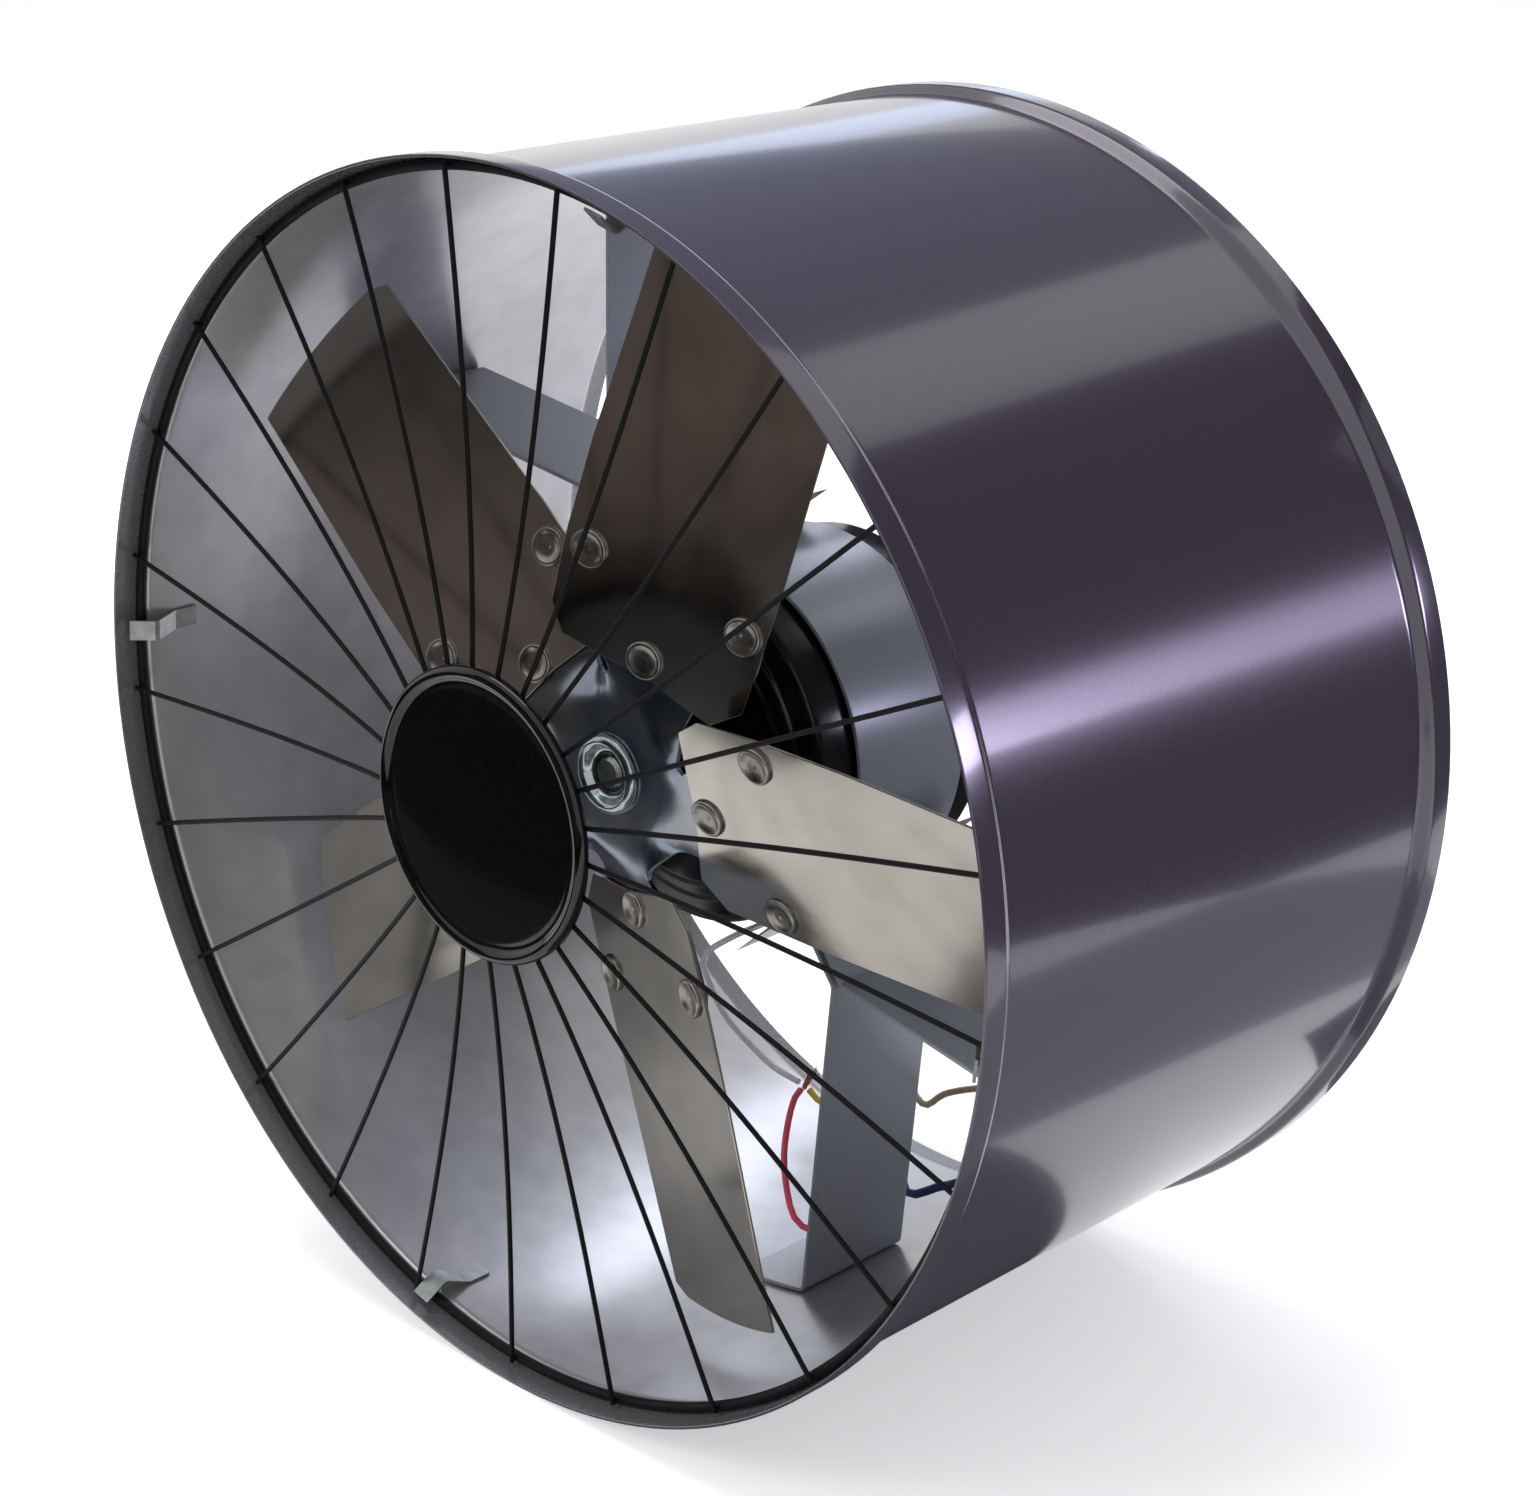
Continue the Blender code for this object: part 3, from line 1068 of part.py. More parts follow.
def main():
    clear_scene()
    drum_paint = make_material("drum_paint", (0.100, 0.090, 0.112), 0.45, 0.0)
    strap_paint = make_material("strap_paint", (0.110, 0.120, 0.150), 0.45, 0.0)
    guard_coating = make_material("guard_coating", (0.010, 0.010, 0.012), 0.35, 0.0)
    cap_gloss = make_material("cap_gloss", (0.008, 0.008, 0.010), 0.12, 0.0)
    bell_black = make_material("bell_black", (0.010, 0.010, 0.012), 0.20, 0.0)
    blade_steel = make_material("blade_steel", (0.360, 0.340, 0.320), 0.30, 1.0)
    zinc = make_material("zinc", (0.450, 0.470, 0.500), 0.30, 1.0)
    bright_steel = make_material("bright_steel", (0.600, 0.610, 0.600), 0.18, 1.0)
    dark_steel = make_material("dark_steel", (0.060, 0.060, 0.060), 0.40, 1.0)
    core_steel = make_material("core_steel", (0.200, 0.200, 0.210), 0.45, 1.0)
    copper = make_material("copper", (0.750, 0.350, 0.180), 0.30, 1.0)
    bronze = make_material("bronze", (0.500, 0.350, 0.160), 0.35, 1.0)
    rubber = make_material("rubber", (0.015, 0.015, 0.015), 0.70, 0.0)
    lead_colours = {
        "lead_white": make_material("lead_white", (0.600, 0.600, 0.620), 0.45, 0.0),
        "lead_red": make_material("lead_red", (0.720, 0.080, 0.120), 0.40, 0.0),
        "lead_earth": make_material("lead_earth", (0.550, 0.620, 0.100), 0.40, 0.0),
        "lead_brown": make_material("lead_brown", (0.450, 0.360, 0.250), 0.40, 0.0),
        "lead_blue": make_material("lead_blue", (0.030, 0.070, 0.220), 0.40, 0.0),
    }
    rotor_axis = place("rotor_axis", None)

    make_drum(drum_paint)
    make_guard(guard_coating, cap_gloss, zinc)
    make_clips(zinc)
    make_blades(blade_steel, rotor_axis)
    make_rivets(bright_steel, rotor_axis)
    make_spider(zinc, rotor_axis)
    make_boss(bright_steel, dark_steel, rotor_axis)
    make_motor_shells(bell_black, core_steel, bronze, bright_steel)
    make_windings(copper)
    make_rotor(core_steel, bright_steel, rotor_axis)
    make_straps(strap_paint, zinc)
    make_grommet(rubber)
    make_leads(lead_colours, copper)


main()
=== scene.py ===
# Looks for the drum-type axial exhaust fan: finer pieces, finishes, studio and camera.
# Metres, Z up, +Y runs to the fan's rear; (radius, depth) pairs are measured from the fan's axis.

import math
import random

import bmesh
import bpy
from mathutils import Matrix, Vector


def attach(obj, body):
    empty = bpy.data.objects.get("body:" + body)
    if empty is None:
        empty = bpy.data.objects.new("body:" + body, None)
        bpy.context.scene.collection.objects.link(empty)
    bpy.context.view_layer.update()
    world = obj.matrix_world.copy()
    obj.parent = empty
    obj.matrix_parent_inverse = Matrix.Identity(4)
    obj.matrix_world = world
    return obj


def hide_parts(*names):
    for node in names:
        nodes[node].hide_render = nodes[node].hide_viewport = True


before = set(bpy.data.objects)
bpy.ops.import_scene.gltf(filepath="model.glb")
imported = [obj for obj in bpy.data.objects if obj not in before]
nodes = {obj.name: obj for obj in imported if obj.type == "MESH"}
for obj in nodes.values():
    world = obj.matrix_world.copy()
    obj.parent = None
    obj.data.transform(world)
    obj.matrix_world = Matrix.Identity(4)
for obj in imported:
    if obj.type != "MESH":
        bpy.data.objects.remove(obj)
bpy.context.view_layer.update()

mm = 0.001
closeUp = 0.0000001  # two points nearer than this are one point
curveSteps = 24  # fine points between two given ones, before a smooth line is spaced evenly
cornerLimit = 0.45  # share of an edge that a softened corner may use up


# Camera

cameraSetup = {
    "lens": 73.39,
    "sensor": 36.0,
    "place": (0.7044, -0.5951, 0.3462),
    "facing": (-0.65978, 0.67339, -0.33352),
}


def makeCamera():
    data = bpy.data.cameras.new("studioCamera")
    data.lens = cameraSetup["lens"]
    data.sensor_width = cameraSetup["sensor"]
    data.sensor_fit = "HORIZONTAL"
    data.clip_end = 60.0
    camera = bpy.data.objects.new("studioCamera", data)
    bpy.context.scene.collection.objects.link(camera)
    camera.location = cameraSetup["place"]
    camera.rotation_mode = "QUATERNION"
    camera.rotation_quaternion = Vector(cameraSetup["facing"]).to_track_quat("-Z", "Y")
    bpy.context.scene.camera = camera


# Shaping helpers

def aroundAxis(radius, degrees, depth):
    turn = math.radians(degrees)
    return Vector((radius * math.cos(turn), depth, radius * math.sin(turn)))


def radialFrame(degrees, depth=0.0, radius=0.0):
    # own X outwards, own Y to the rear, own Z along the turning direction
    outwards = aroundAxis(1.0, degrees, 0.0)
    rearwards = Vector((0.0, 1.0, 0.0))
    turned = Matrix((outwards, rearwards, outwards.cross(rearwards))).transposed().to_4x4()
    turned.translation = aroundAxis(radius, degrees, depth)
    return turned


def finishMesh(shape, name, sharpAngle=32.0):
    bmesh.ops.recalc_face_normals(shape, faces=shape.faces[:])
    mesh = bpy.data.meshes.new(name)
    shape.to_mesh(mesh)
    shape.free()
    mesh.shade_smooth()
    mesh.set_sharp_from_angle(angle=math.radians(sharpAngle))
    return mesh


def softenCorners(points, reach, steps=4, closed=False):
    # each corner becomes a small curve that starts and ends within reach of it
    count = len(points)
    spots = [Vector(point) for point in points]
    result = []
    for index, spot in enumerate(spots):
        if not closed and index in (0, count - 1):
            result.append(spot)
            continue
        before = spots[index - 1] - spot
        after = spots[(index + 1) % count] - spot
        start = spot + before.normalized() * min(reach, before.length * cornerLimit)
        end = spot + after.normalized() * min(reach, after.length * cornerLimit)
        for step in range(steps + 1):
            t = step / steps
            result.append(start * (1 - t) ** 2 + spot * (2 * t * (1 - t)) + end * t ** 2)
    return result


def smoothLine(points, spacing):
    # evenly spaced points on a smooth curve through the given ones
    spots = [Vector(point) for point in points]
    padded = [2 * spots[0] - spots[1]] + spots + [2 * spots[-1] - spots[-2]]
    fine = []
    for a, b, c, d in zip(padded, padded[1:], padded[2:], padded[3:]):
        for step in range(curveSteps):
            t = step / curveSteps
            fine.append((2 * b + (c - a) * t + (2 * a - 5 * b + 4 * c - d) * t ** 2
                         + (3 * b - a - 3 * c + d) * t ** 3) / 2)
    fine.append(spots[-1])
    travelled = [0.0]
    for before, after in zip(fine, fine[1:]):
        travelled.append(travelled[-1] + (after - before).length)
    count = max(2, round(travelled[-1] / spacing))
    result = []
    index = 0
    for step in range(count + 1):
        target = travelled[-1] * step / count
        while index < len(travelled) - 2 and travelled[index + 1] < target:
            index += 1
        share = (target - travelled[index]) / (travelled[index + 1] - travelled[index])
        result.append(fine[index].lerp(fine[index + 1], share))
    return result, travelled[-1]


def inMetres(points):
    return [(radius * mm, depth * mm) for radius, depth in points]


def smoothProfile(points, spacing):
    # millimetre (radius, depth) points joined by a smooth line
    line, _ = smoothLine([(*point, 0.0) for point in inMetres(points)], spacing)
    return [(max(point.x, 0.0), point.y) for point in line]


def turnedMesh(name, profile, sides, closed=True, sharpAngle=32.0):
    # (radius, depth) points spun about the fan's axis; a point on the axis is one vertex
    shape = bmesh.new()
    rings = []
    for radius, depth in profile:
        if radius < closeUp:
            rings.append([shape.verts.new((0.0, depth, 0.0))] * sides)
        else:
            rings.append([shape.verts.new(aroundAxis(radius, 360 * k / sides, depth))
                          for k in range(sides)])
    pairs = list(zip(rings, rings[1:]))
    if closed and profile[0][0] > closeUp:
        pairs.append((rings[-1], rings[0]))
    for low, high in pairs:
        for k in range(sides):
            corners = []
            for vert in (low[k - 1], low[k], high[k], high[k - 1]):
                if vert not in corners:
                    corners.append(vert)
            if len(corners) > 2:
                shape.faces.new(corners)
    return finishMesh(shape, name, sharpAngle)


def addTube(shape, line, radii, sides, uvLayer=None):
    # a round tube with closed ends; its rings keep from twisting along the line
    rings = []
    side = None
    travelled = 0.0
    heights = []
    for index, spot in enumerate(line):
        before = line[max(index - 1, 0)]
        after = line[min(index + 1, len(line) - 1)]
        along = (after - before).normalized()
        if side is None:
            side = along.orthogonal().normalized()
        side = (side - along * side.dot(along)).normalized()
        other = along.cross(side)
        radius = radii[index] if hasattr(radii, "__len__") else radii
        ring = []
        for k in range(sides):
            turn = math.tau * k / sides
            ring.append(shape.verts.new(spot + (side * math.cos(turn) + other * math.sin(turn)) * radius))
        if index:
            travelled += (spot - line[index - 1]).length
        heights.append(travelled)
        rings.append(ring)
    for row, (low, high) in enumerate(zip(rings, rings[1:])):
        for k in range(sides):
            face = shape.faces.new((low[k - 1], low[k], high[k], high[k - 1]))
            if uvLayer:
                shares = ((k - 1) % sides / sides, ((k - 1) % sides + 1) / sides)
                for loop, u, v in zip(face.loops, (shares[0], shares[1], shares[1], shares[0]),
                                      (heights[row], heights[row], heights[row + 1], heights[row + 1])):
                    loop[uvLayer].uv = (u, v)
    shape.faces.new(rings[0][::-1])
    shape.faces.new(rings[-1])


def addPiece(name, mesh, material, body, replaced=(), place=None):
    piece = bpy.data.objects.new(name, mesh)
    bpy.context.scene.collection.objects.link(piece)
    if place:
        piece.matrix_world = place
    if material and not mesh.materials:
        mesh.materials.append(material)
    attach(piece, body)
    if replaced:
        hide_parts(*replaced)
    return piece


def breakEdges(piece, width, segments=2, sharperThan=40.0):
    # a small rounded edge where two faces meet at more than the given degrees
    bevel = piece.modifiers.new("edge", "BEVEL")
    bevel.width = width
    bevel.segments = segments
    bevel.limit_method = "ANGLE"
    bevel.angle_limit = math.radians(sharperThan)
    bevel.harden_normals = True


def dressNode(name, material, edge):
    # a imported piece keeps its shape; it gets its finish and a small rounded edge
    node = nodes[name]
    node.data.materials.clear()
    node.data.materials.append(material)
    breakEdges(node, edge)


# Finishes

def linearColour(hexText):
    # sRGB hex to the linear values that shader sockets take
    channels = []
    for start in (0, 2, 4):
        value = int(hexText[start:start + 2], 16) / 255
        channels.append(value / 12.92 if value <= 0.04045 else ((value + 0.055) / 1.055) ** 2.4)
    return (*channels, 1.0)


def addNode(tree, kind, values=None, stops=(), **settings):
    # values are numbers or other nodes' outputs; stops are a ramp's places with their colours
    node = tree.nodes.new(kind)
    for name, value in settings.items():
        setattr(node, name, value)
    for socket, value in (values or {}).items():
        if isinstance(value, bpy.types.NodeSocket):
            tree.links.new(value, node.inputs[socket])
        else:
            node.inputs[socket].default_value = value
    for index, (position, colour) in enumerate(stops):
        if index > 1:
            node.color_ramp.elements.new(position)
        element = node.color_ramp.elements[index]
        element.position = position
        element.color = linearColour(colour)
    return node.outputs


def startMaterial(name, values):
    material = bpy.data.materials.new(name)
    material.use_nodes = True
    tree = material.node_tree
    surface = tree.nodes["Principled BSDF"]
    for socket, value in values.items():
        surface.inputs[socket].default_value = value
    return material, tree, surface


def makeFinish(name, recipe):
    # sizes are the width of one blotch or wave in millimetres, stretch pulls the grain along own X
    material, tree, surface = startMaterial(name, recipe["surface"])
    spot = addNode(tree, "ShaderNodeTexCoord")["Object"]
    stretch = (recipe.get("stretch", 1.0), 1.0, 1.0)
    drawn = addNode(tree, "ShaderNodeMapping", {"Vector": spot, "Scale": stretch})
    noises = {}
    for use, vector in (("tone", spot), ("relief", drawn["Vector"])):
        size, detail = recipe[use][:2]
        noises[use] = addNode(tree, "ShaderNodeTexNoise", {
            "Vector": vector, "Scale": 1.0 / (size * mm), "Detail": detail})["Fac"]
    tone = addNode(tree, "ShaderNodeValToRGB", {"Fac": noises["tone"]}, recipe["tone"][2])
    tree.links.new(tone["Color"], surface.inputs["Base Color"])
    dull, duller = recipe["gloss"]
    gloss = addNode(tree, "ShaderNodeMapRange", {
        "Value": noises["tone"], "From Min": 0.1, "From Max": 0.9, "To Min": dull, "To Max": duller})
    tree.links.new(gloss["Result"], surface.inputs["Roughness"])
    depth, strength = recipe["relief"][2:]
    bump = addNode(tree, "ShaderNodeBump", {
        "Height": noises["relief"], "Distance": depth * mm, "Strength": strength})
    tree.links.new(bump["Normal"], surface.inputs["Normal"])
    return material


def earthPlastic():
    # PVC insulation in two colours: a green stripe over about a third of the yellow wire's round
    material, tree, surface = startMaterial("earthPvc", {"Roughness": 0.42, "IOR": 1.53})
    uv = addNode(tree, "ShaderNodeUVMap", uv_map="lead")["UV"]
    around = addNode(tree, "ShaderNodeSeparateXYZ", {"Vector": uv})["X"]
    ramp = addNode(tree, "ShaderNodeValToRGB", {"Fac": around},
                   ((0.0, "e2d63c"), (0.30, "3f9b55"), (0.62, "e2d63c")))["Color"]
    ramp.node.color_ramp.interpolation = "CONSTANT"
    tree.links.new(ramp, surface.inputs["Base Color"])
    return material


def bandedMetal(name, values, bandMm, dark, light, depthMm, **settings):
    # fine even bands: the edges of stacked sheets, or the turns of a wound wire
    material, tree, surface = startMaterial(name, values)
    spot = addNode(tree, "ShaderNodeTexCoord")["Object"]
    wave = addNode(tree, "ShaderNodeTexWave", {"Vector": spot, "Scale": 0.5 / (bandMm * mm) / math.pi,
                                               "Distortion": 0.3}, **settings)["Fac"]
    tone = addNode(tree, "ShaderNodeValToRGB", {"Fac": wave}, ((0.1, dark), (0.8, light)))["Color"]
    tree.links.new(tone, surface.inputs["Base Color"])
    bump = addNode(tree, "ShaderNodeBump", {"Height": wave, "Distance": depthMm * mm, "Strength": 0.7})
    tree.links.new(bump["Normal"], surface.inputs["Normal"])
    return material


# Leads first, so that a fault in a cord shows early

leadSetup = {
    "spacing": 4.5 * mm,
    "sides": 14,
    "ringRadius": 2.6997 * mm,
    "straight": 2.0 * mm,
    "mouthAngle": -100.0,
    "mouthRadius": 66.7 * mm,
    "mouthDepth": 157.247 * mm,
}

# name: (ring place in degrees, diameter, far end, points passed after the grommet)
leadRoutes = {
    "lead_white": (198.0, 2.4 * mm, "knot", (
        (-0.0160, 0.1565, -0.0760), (-0.0280, 0.1560, -0.0900), (-0.0480, 0.1540, -0.1030),
        (-0.0600, 0.1510, -0.1135), (-0.0560, 0.1500, -0.1220), (-0.0480, 0.1500, -0.1330),
        (-0.0340, 0.1500, -0.1410), (-0.0220, 0.1495, -0.1455), (-0.0085, 0.1483, -0.1464),
    )),
    "lead_red": (-18.0, 2.4 * mm, "knot", (
        (-0.0080, 0.1570, -0.0750), (0.0000, 0.1580, -0.0880), (0.0090, 0.1580, -0.1000),
        (0.0170, 0.1560, -0.1160), (0.0250, 0.1520, -0.1360), (0.0320, 0.1470, -0.1570),
        (0.0330, 0.1410, -0.1740), (0.0280, 0.1350, -0.1850), (0.0175, 0.1300, -0.1905),
        (0.0110, 0.1268, -0.1870), (0.0060, 0.1280, -0.1800), (0.0020, 0.1300, -0.1680),
        (0.0005, 0.1330, -0.1570), (-0.0030, 0.1400, -0.1495), (-0.0046, 0.1453, -0.1474),
    )),
    "lead_earth": (-90.0, 2.4 * mm, "knot", (
        (-0.0100, 0.1550, -0.0760), (-0.0020, 0.1560, -0.0950), (0.0050, 0.1570, -0.1080),
        (0.0100, 0.1560, -0.1220), (0.0130, 0.1530, -0.1360), (0.0120, 0.1500, -0.1460),
        (0.0060, 0.1480, -0.1510), (0.0005, 0.1480, -0.1498), (-0.0028, 0.1480, -0.1477),
    )),
    "lead_brown": (54.0, 2.4 * mm, "bare", (
        (-0.0080, 0.1610, -0.0760), (0.0000, 0.1650, -0.0900), (0.0100, 0.1680, -0.1120),
        (0.0210, 0.1680, -0.1320), (0.0320, 0.1650, -0.1420), (0.0420, 0.1610, -0.1430),
        (0.0530, 0.1580, -0.1340), (0.0685, 0.1560, -0.1260), (0.0805, 0.1550, -0.1220),
        (0.0900, 0.1530, -0.1220),
    )),
    "lead_blue": (126.0, 3.2 * mm, "bare", (
        (-0.0140, 0.1610, -0.0760), (-0.0080, 0.1680, -0.0950), (0.0040, 0.1710, -0.1180),
        (0.0160, 0.1700, -0.1420), (0.0270, 0.1640, -0.1700), (0.0330, 0.1605, -0.1790),
        (0.0380, 0.1600, -0.1795), (0.0467, 0.1640, -0.1746), (0.0510, 0.1680, -0.1733),
        (0.0590, 0.1720, -0.1680),
    )),
}

spliceSetup = {
    "start": Vector((-0.0050, 0.1478, -0.1476)),
    "twistEnd": Vector((-0.0020, 0.1470, -0.1425)),
    "frayEnd": Vector((0.0012, 0.1465, -0.1385)),
    "strands": 18,
    "strandRadius": 0.22 * mm,
    "strandSides": 6,
    "steps": 12,
    "phaseSpread": 0.2,
    "ring": (0.35, 1.0),
    "fray": (0.6, 2.2),
    "reach": (0.65, 1.0),
    "twist": 4.2,
    "twistShare": 0.6,
    "frayPower": 1.6,
    "frayGain": 2.4,
}


def makeSplice(copper):
    # bare strands of three leads twisted together, their tips left frayed
    s = spliceSetup
    pick = random.Random(11)
    shape = bmesh.new()
    start, middle, end = (s[key] for key in ("start", "twistEnd", "frayEnd"))
    along = (end - start).normalized()
    side = along.orthogonal().normalized()
    other = along.cross(side)
    for number in range(s["strands"]):
        phase = math.tau * number / s["strands"] + pick.uniform(-s["phaseSpread"], s["phaseSpread"])
        ringRadius = pick.uniform(*s["ring"]) * mm
        spread = pick.uniform(*s["fray"]) * mm
        reach = pick.uniform(*s["reach"])
        line = []
        for step in range(s["steps"] + 1):
            t = step / s["steps"]
            centre = start.lerp(middle, min(t * 2, 1.0)).lerp(end, max(t * 2 - 1.0, 0.0) * reach)
            turn = phase + s["twist"] * min(t, s["twistShare"])
            radius = ringRadius + spread * max(t - 0.5, 0.0) ** s["frayPower"] * s["frayGain"]
            line.append(centre + (side * math.cos(turn) + other * math.sin(turn)) * radius)
        addTube(shape, line, s["strandRadius"], s["strandSides"])
    mesh = finishMesh(shape, "leadSplice", 60.0)
    return addPiece("leadSplice", mesh, copper, "frame", ["lead_splice"])


def makeLeads(finishes):
    mouth = radialFrame(leadSetup["mouthAngle"], leadSetup["mouthDepth"], leadSetup["mouthRadius"])
    for name, (ringPlace, diameter, farEnd, places) in leadRoutes.items():
        turn = math.radians(ringPlace)
        start = Vector((0.0, math.sin(turn), math.cos(turn))) * leadSetup["ringRadius"]
        straight = start + Vector((leadSetup["straight"], 0.0, 0.0))
        route = [mouth @ start, mouth @ straight, *places]
        line, length = smoothLine(route, leadSetup["spacing"])
        shape = bmesh.new()
        uvLayer = shape.loops.layers.uv.new("lead")
        addTube(shape, line, diameter / 2, leadSetup["sides"], uvLayer)
        mesh = finishMesh(shape, name + "_wire", 50.0)
        piece = addPiece(name + "_wire", mesh, finishes[name], "frame", [name])
        print("lead", name, "length", round(length, 4))


# Drum

drumSetup = {
    "depth": 226.0 * mm,
    "radius": 200.5 * mm,
    "sheet": 1.0 * mm,
    "collarRise": 3.5 * mm,
    "collarWidth": 9.2 * mm,
    "collarStep": 3.4 * mm,
    "bend": 1.5 * mm,
    "rimOuter": 0.3 * mm,
    "rimInner": 0.2 * mm,
    "sides": 180,
}


def makeDrum(paints):
    # paints: outside, inner wall, insides of the two collars (a lighter copy of the outside paint, a painted
    # reflection)
    d = drumSetup
    rimOuter, rimInner = d["rimOuter"], d["rimInner"]
    rim = d["radius"] + d["collarRise"]
    stepEnd = d["collarWidth"] + d["collarStep"]
    front = [(rim, 0.0), (rim, d["collarWidth"]), (d["radius"], stepEnd)]
    outside = front + [(radius, d["depth"] - depth) for radius, depth in reversed(front)]
    outside = softenCorners(outside, d["bend"])
    outside[0:1] = [Vector((rim - rimOuter, 0.0)), Vector((rim, rimOuter))]
    outside[-1:] = [Vector((rim, d["depth"] - rimOuter)), Vector((rim - rimOuter, d["depth"]))]
    sheet, half = d["sheet"], d["sheet"] / 2
    inFront = [(rim - sheet, 0.0), (rim - sheet, d["collarWidth"] - half),
               (d["radius"] - sheet, stepEnd - half)]
    inside = inFront + [(radius, d["depth"] - depth) for radius, depth in reversed(inFront)]
    inside = softenCorners(inside, d["bend"])
    inside[0:1] = [Vector((rim - sheet + rimInner, 0.0)), Vector((rim - sheet, rimInner))]
    inside[-1:] = [Vector((rim - sheet, d["depth"] - rimInner)),
                   Vector((rim - sheet + rimInner, d["depth"]))]
    profile = [tuple(point) for point in outside + inside[::-1]]
    mesh = turnedMesh("drumCasing", profile, d["sides"])
    for paint in paints:
        mesh.materials.append(paint)
    for face in mesh.polygons:
        outward = Vector((face.center.x, 0.0, face.center.z)).normalized()
        facesInwards = face.normal.dot(outward) < -0.3
        if facesInwards:
            face.material_index = 1 if face.center.dot(outward) < d["radius"] - half else 2
    addPiece("drumCasing", mesh, None, "frame", ["drum_casing"])


# Guard

guardSetup = {
    "ringRadius": 200.0 * mm,
    "ringWire": 1.8 * mm,
    "ringDepth": 8.79 * mm,
    "wires": 25,
    "firstAngle": 95.61,
    "wire": 0.85 * mm,
    "inner": 15.0 * mm,
    "outer": 201.2 * mm,
    "endDepth": 6.2 * mm,
    "bow": 8.0 * mm,
    "bowStart": 197.5 * mm,
    "capRadius": 48.6 * mm,
    "bowPower": 2.5,
    "bowSteps": 18,
    "ringSides": 200,
    "wireSides": 12,
}


def makeGuard(coating):
    g = guardSetup
    shape = bmesh.new()
    ringSides, wireSides = g["ringSides"], g["wireSides"]
    grid = []
    for k in range(ringSides):
        ring = []
        for j in range(wireSides):
            turn = math.tau * j / wireSides
            radius = g["ringRadius"] + g["ringWire"] * math.cos(turn)
            spot = aroundAxis(radius, 360 * k / ringSides, g["ringDepth"] + g["ringWire"] * math.sin(turn))
            ring.append(shape.verts.new(spot))
        grid.append(ring)
    for k in range(ringSides):
        for j in range(wireSides):
            shape.faces.new((grid[k - 1][j - 1], grid[k - 1][j], grid[k][j], grid[k][j - 1]))
    steps = g["bowSteps"]
    radii = [g["outer"] + (g["capRadius"] - g["outer"]) * step / steps for step in range(steps + 1)]
    radii.append(g["inner"])
    for number in range(g["wires"]):
        frameOfWire = radialFrame(g["firstAngle"] - number * 360 / g["wires"])
        line = []
        for radius in radii:
            share = (g["bowStart"] - radius) / (g["bowStart"] - g["capRadius"])
            share = min(max(share, 0.0), 1.0)
            depth = g["endDepth"] - g["bow"] * share ** g["bowPower"]
            line.append(frameOfWire @ Vector((radius, depth, 0.0)))
        addTube(shape, line, g["wire"], wireSides)
    mesh = finishMesh(shape, "guardWires", 50.0)
    addPiece("guardWires", mesh, coating, "frame", ["guard_wires"])


capSetup = {
    "face": ((0.0, -5.62), (16.0, -5.58), (30.0, -5.42), (40.0, -5.10), (43.0, -4.92), (44.0, -5.30),
             (44.9, -6.15), (46.2, -6.62), (47.5, -6.20), (48.4, -5.10), (48.6, -4.20), (48.6, -3.22)),
    "back": ((47.6, -3.22), (47.3, -4.1), (42.4, -3.7), (20.0, -4.2), (2.5, -4.3), (2.5, 6.47), (0.0, 6.47)),
    "spacing": 0.45 * mm,
    "sides": 120,
}


def makeCap(gloss):
    profile = smoothProfile(capSetup["face"], capSetup["spacing"])
    profile[0] = (0.0, capSetup["face"][0][1] * mm)
    profile += inMetres(capSetup["back"])
    mesh = turnedMesh("guardCap", profile, capSetup["sides"])
    addPiece("guardCap", mesh, gloss, "frame", ["guard_cap"])


# Impeller

impellerSetup = {
    "angles": (73.86, 1.86, -70.14, -142.14, 145.86),
    "plane": 49.5 * mm,
    "pitch": math.radians(16.43),
    "sheet": 1.0 * mm,
    "tipRadius": 189.0 * mm,
    "tipArc": (5.4, -13.0),
    "tipSteps": 16,
    "edge": 0.18 * mm,
    "corner": 0.6 * mm,
    "leading": ((40.60, 10.50), (42.00, 25.90), (51.90, 31.60), (77.49, 30.97), (112.08, 28.00),
                (151.01, 23.01)),
    "trailing": ((179.50, -51.00), (126.06, -47.90), (82.02, -45.32), (42.40, -41.70),
                 (33.40, -31.60), (35.80, -20.50), (38.90, -8.00)),
    "rivets": ((45.55, -4.91), (74.66, 21.76), (68.23, -36.27)),
}


def bladeFrame(angle):
    # own X along the blade, own Y across it, own Z out of its front face
    spin = Matrix.Rotation(-math.radians(angle), 4, "Y")
    lean = Matrix.Rotation(math.pi / 2 + impellerSetup["pitch"], 4, "X")
    return Matrix.Translation((0.0, impellerSetup["plane"], 0.0)) @ spin @ lean


def bladeOutline():
    s = impellerSetup
    outline = [Vector((x * mm, y * mm)) for x, y in s["leading"]]
    first, last = s["tipArc"]
    for step in range(s["tipSteps"] + 1):
        swing = math.radians(first + (last - first) * step / s["tipSteps"])
        outline.append(Vector((math.cos(swing), math.sin(swing) / math.cos(s["pitch"]))) * s["tipRadius"])
    return outline + [Vector((x * mm, y * mm)) for x, y in s["trailing"]]


